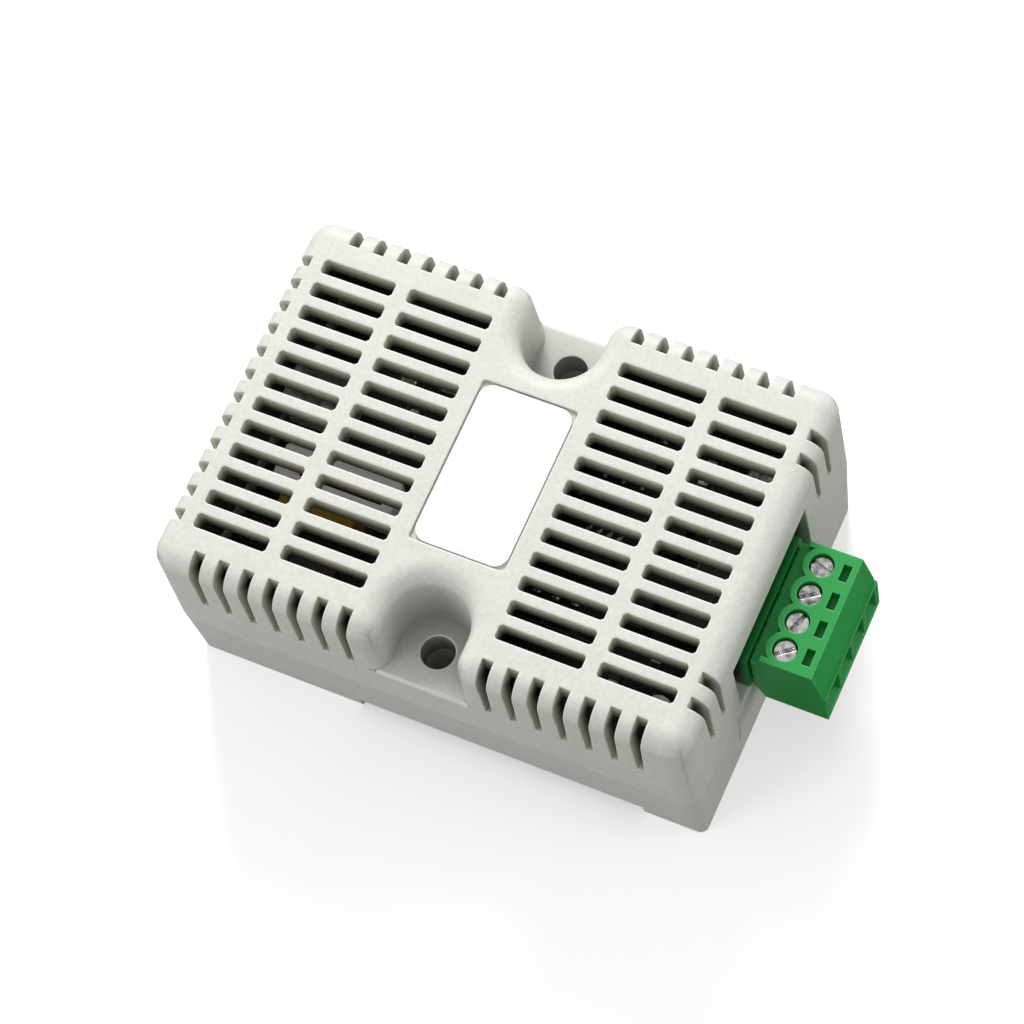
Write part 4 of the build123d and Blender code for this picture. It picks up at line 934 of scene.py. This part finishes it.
# %% Solder
solder_rise = 0.28 * mm
foot_shift, foot_margin = 0.35 * mm, 0.14 * mm
part_ends, part_halves, _ = ends_of(part_boxes)
lead_middles = lead_boxes.mean(axis=1)[:, :2]
lead_halves = (lead_boxes[:, 1] - lead_boxes[:, 0])[:, :2] / 2
chip_boxes = np.array([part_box(chip) for chip in chips])
chip_middles = chip_boxes.mean(axis=1)[:, :2]
gaps = np.linalg.norm(lead_middles[:, None] - chip_middles[None], axis=2)
away = np.sign(lead_middles[:, 1] - chip_middles[gaps.argmin(axis=1), 1])
feet = lead_middles + np.outer(away, [0.0, foot_shift])
feet_halves = np.column_stack([lead_halves[:, 0] + foot_margin, np.full(len(feet), end_reach)])
solder_places = np.concatenate([part_ends, feet])
solder_halves = np.concatenate([part_halves, feet_halves])
solder = metal("solder", colour(196, 196, 192), colour(150, 150, 144), 0.28, marks=even)
domes = mounds(solder_places, solder_halves, board_top, solder_rise)
skin("solder_mounds", domes, solder)

# %% [markdown]
# Chip resistors and chip capacitors end in metal caps. A cube with a Bevel modifier would do for
# one. As a formula, all of them are one piece: each cap is a superellipsoid, a ball whose
# cosines and sines are raised to a small power, which squares it off.

# %% End caps
cap_depth, cap_skin = 0.19 * mm, 0.012 * mm


def squared_off(value, power):
    """A cosine or a sine raised to a power, with its sign kept."""
    return np.sign(value) * np.abs(np.round(value, 12)) ** power


def square_balls(middles, halves, power=0.22, rows=11, columns=20):
    """Superellipsoids. With t for height from pole to pole and a for the turn round it, a point
    is half * (C(t) C(a), C(t) S(a), S(t)), where C and S are the cosine and the sine raised to
    the power, with their signs kept."""
    t = np.linspace(-np.pi / 2, np.pi / 2, rows)[:, None]
    a = np.linspace(0.0, 2 * np.pi, columns, endpoint=False)[None, :]
    wide = squared_off(np.cos(t), power)
    high = squared_off(np.sin(t), power) * np.ones_like(a)
    out_x, out_y = squared_off(np.cos(a), power), squared_off(np.sin(a), power)
    ball = np.stack([wide * out_x, wide * out_y, high], axis=-1)
    return middles[:, None, None] + ball[None] * halves[:, None, None]


cap_ends, _, cap_along = ends_of(cap_boxes)
cap_sizes = np.tile(cap_boxes[:, 1] - cap_boxes[:, 0], (2, 1))
cap_heights = cap_sizes[:, 2]
inward = np.repeat([1.0, -1.0], len(cap_boxes))[:, None] * cap_along
cap_middles = np.column_stack([cap_ends + inward * cap_depth, board_top + cap_heights / 2])
cap_plan = np.where(cap_along > 0, cap_depth, cap_sizes[:, :2] / 2)
cap_halves = np.column_stack([cap_plan, cap_heights / 2]) + cap_skin
skin("end_caps", square_balls(cap_middles, cap_halves), solder)

# %% [markdown]
# Pale ink outlines show where each part belongs; their grey is the pale ink with painted shade,
# for the dark under the cover. They could be drawn in the board's material, but each would need
# a mask of its own. As a mesh, an outline is a very thin square rod bent round a rectangle with
# rounded corners. Nothing is lettered.

# %% Printed outlines
ink_half, ink_rise = 0.05 * mm, 0.012 * mm
big_margin, small_margin = 0.35 * mm, 0.55 * mm


def outlines(boxes, margin, corner_power=0.12, steps=64):
    """Rods round boxes: the path is a superellipse margin outside the box, and the rod's four
    edges stand ink_half to each side of it, on the board and ink_rise above it."""
    low, high = boxes[:, 0, :2] - margin, boxes[:, 1, :2] + margin
    middle, half = (low + high) / 2, (high - low) / 2
    angle = np.linspace(0.0, 2 * np.pi, steps, endpoint=False)
    path = squared_off(np.stack([np.cos(angle), np.sin(angle)], axis=-1), corner_power)
    sides = np.array([-1.0, 1.0, 1.0, -1.0]) * ink_half
    heights = board_top + np.array([0.0, 0.0, 1.0, 1.0]) * ink_rise
    flat = middle[:, None, None] + path[None, :, None] * (half[:, None, None] + sides[:, None])
    up = np.broadcast_to(heights[None, None, :, None], (*flat.shape[:3], 1))
    return np.concatenate([flat, up], axis=-1)


ink, _, shader = finish("legend ink")
# Pale ink darkened to grey: painted shade for the dark under the cover.
shader.inputs["Base Color"].default_value = colour(84, 92, 84)
shader.inputs["Roughness"].default_value = 0.6
big_parts = ("choke", "crystal", "film_capacitor", "link_connector", "bulk_capacitor")
big_rods = outlines(np.array([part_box(node) for node in big_parts]), big_margin)
small_rods = outlines(part_boxes, small_margin)
rods = np.concatenate([big_rods, small_rods])
skin("printed_outlines", rods, ink, ring=True)

# %% [markdown]
# Each chip has a pale round mark over its first lead. It is the solder's dome once more, made
# flat: a hundredth of a millimetre high.

# %% Marks on the chips
mark_inset, mark_radius, mark_rise = 0.75 * mm, 0.28 * mm, 0.01 * mm
mark_places = chip_boxes[:, 0, :2] + mark_inset
mark_halves = np.full_like(mark_places, mark_radius)
# The marks take the same ink, with its painted shade.
marks = mounds(mark_places, mark_halves, chip_boxes[:, 1, 2], mark_rise)
skin("chip_marks", marks, ink)

# %% [markdown]
# ## The floor's paper
# The floor is a pale sheet of paper. A white floor would throw as much light up at the walls as
# the sky throws down, and the case would look flat. A studio takes that light away with a dark
# card out of view. Here the floor itself is dark for every ray but those from the lens, and it
# glows a little for the lens, which keeps the shadow pale.

# %% Floor paper
glow_for_lens = 0.3
paper, recipe, shader = finish("floor paper")
fibre = recipe.noise(recipe.own_place(), 0.02 / mm, 5.0)
paper_tones = [(noise_low, colour(246, 246, 246)), (noise_high, colour(251, 251, 251))]
from_lens = recipe.add("ShaderNodeLightPath").outputs["Is Camera Ray"]
seen_tone = recipe.ramp(fibre, paper_tones)
recipe.feed(
    shader,
    {
        "Base Color": recipe.mix(from_lens, colour(120, 120, 120), seen_tone),
        "Roughness": 0.9,
        "Emission Color": (1.0, 1.0, 1.0, 1.0),
        "Emission Strength": recipe.math("MULTIPLY", from_lens, glow_for_lens),
    },
)
floor.data.materials.append(paper)
print("floor paper:", len(paper.node_tree.nodes), "nodes")

# %% [markdown]
# ## The end
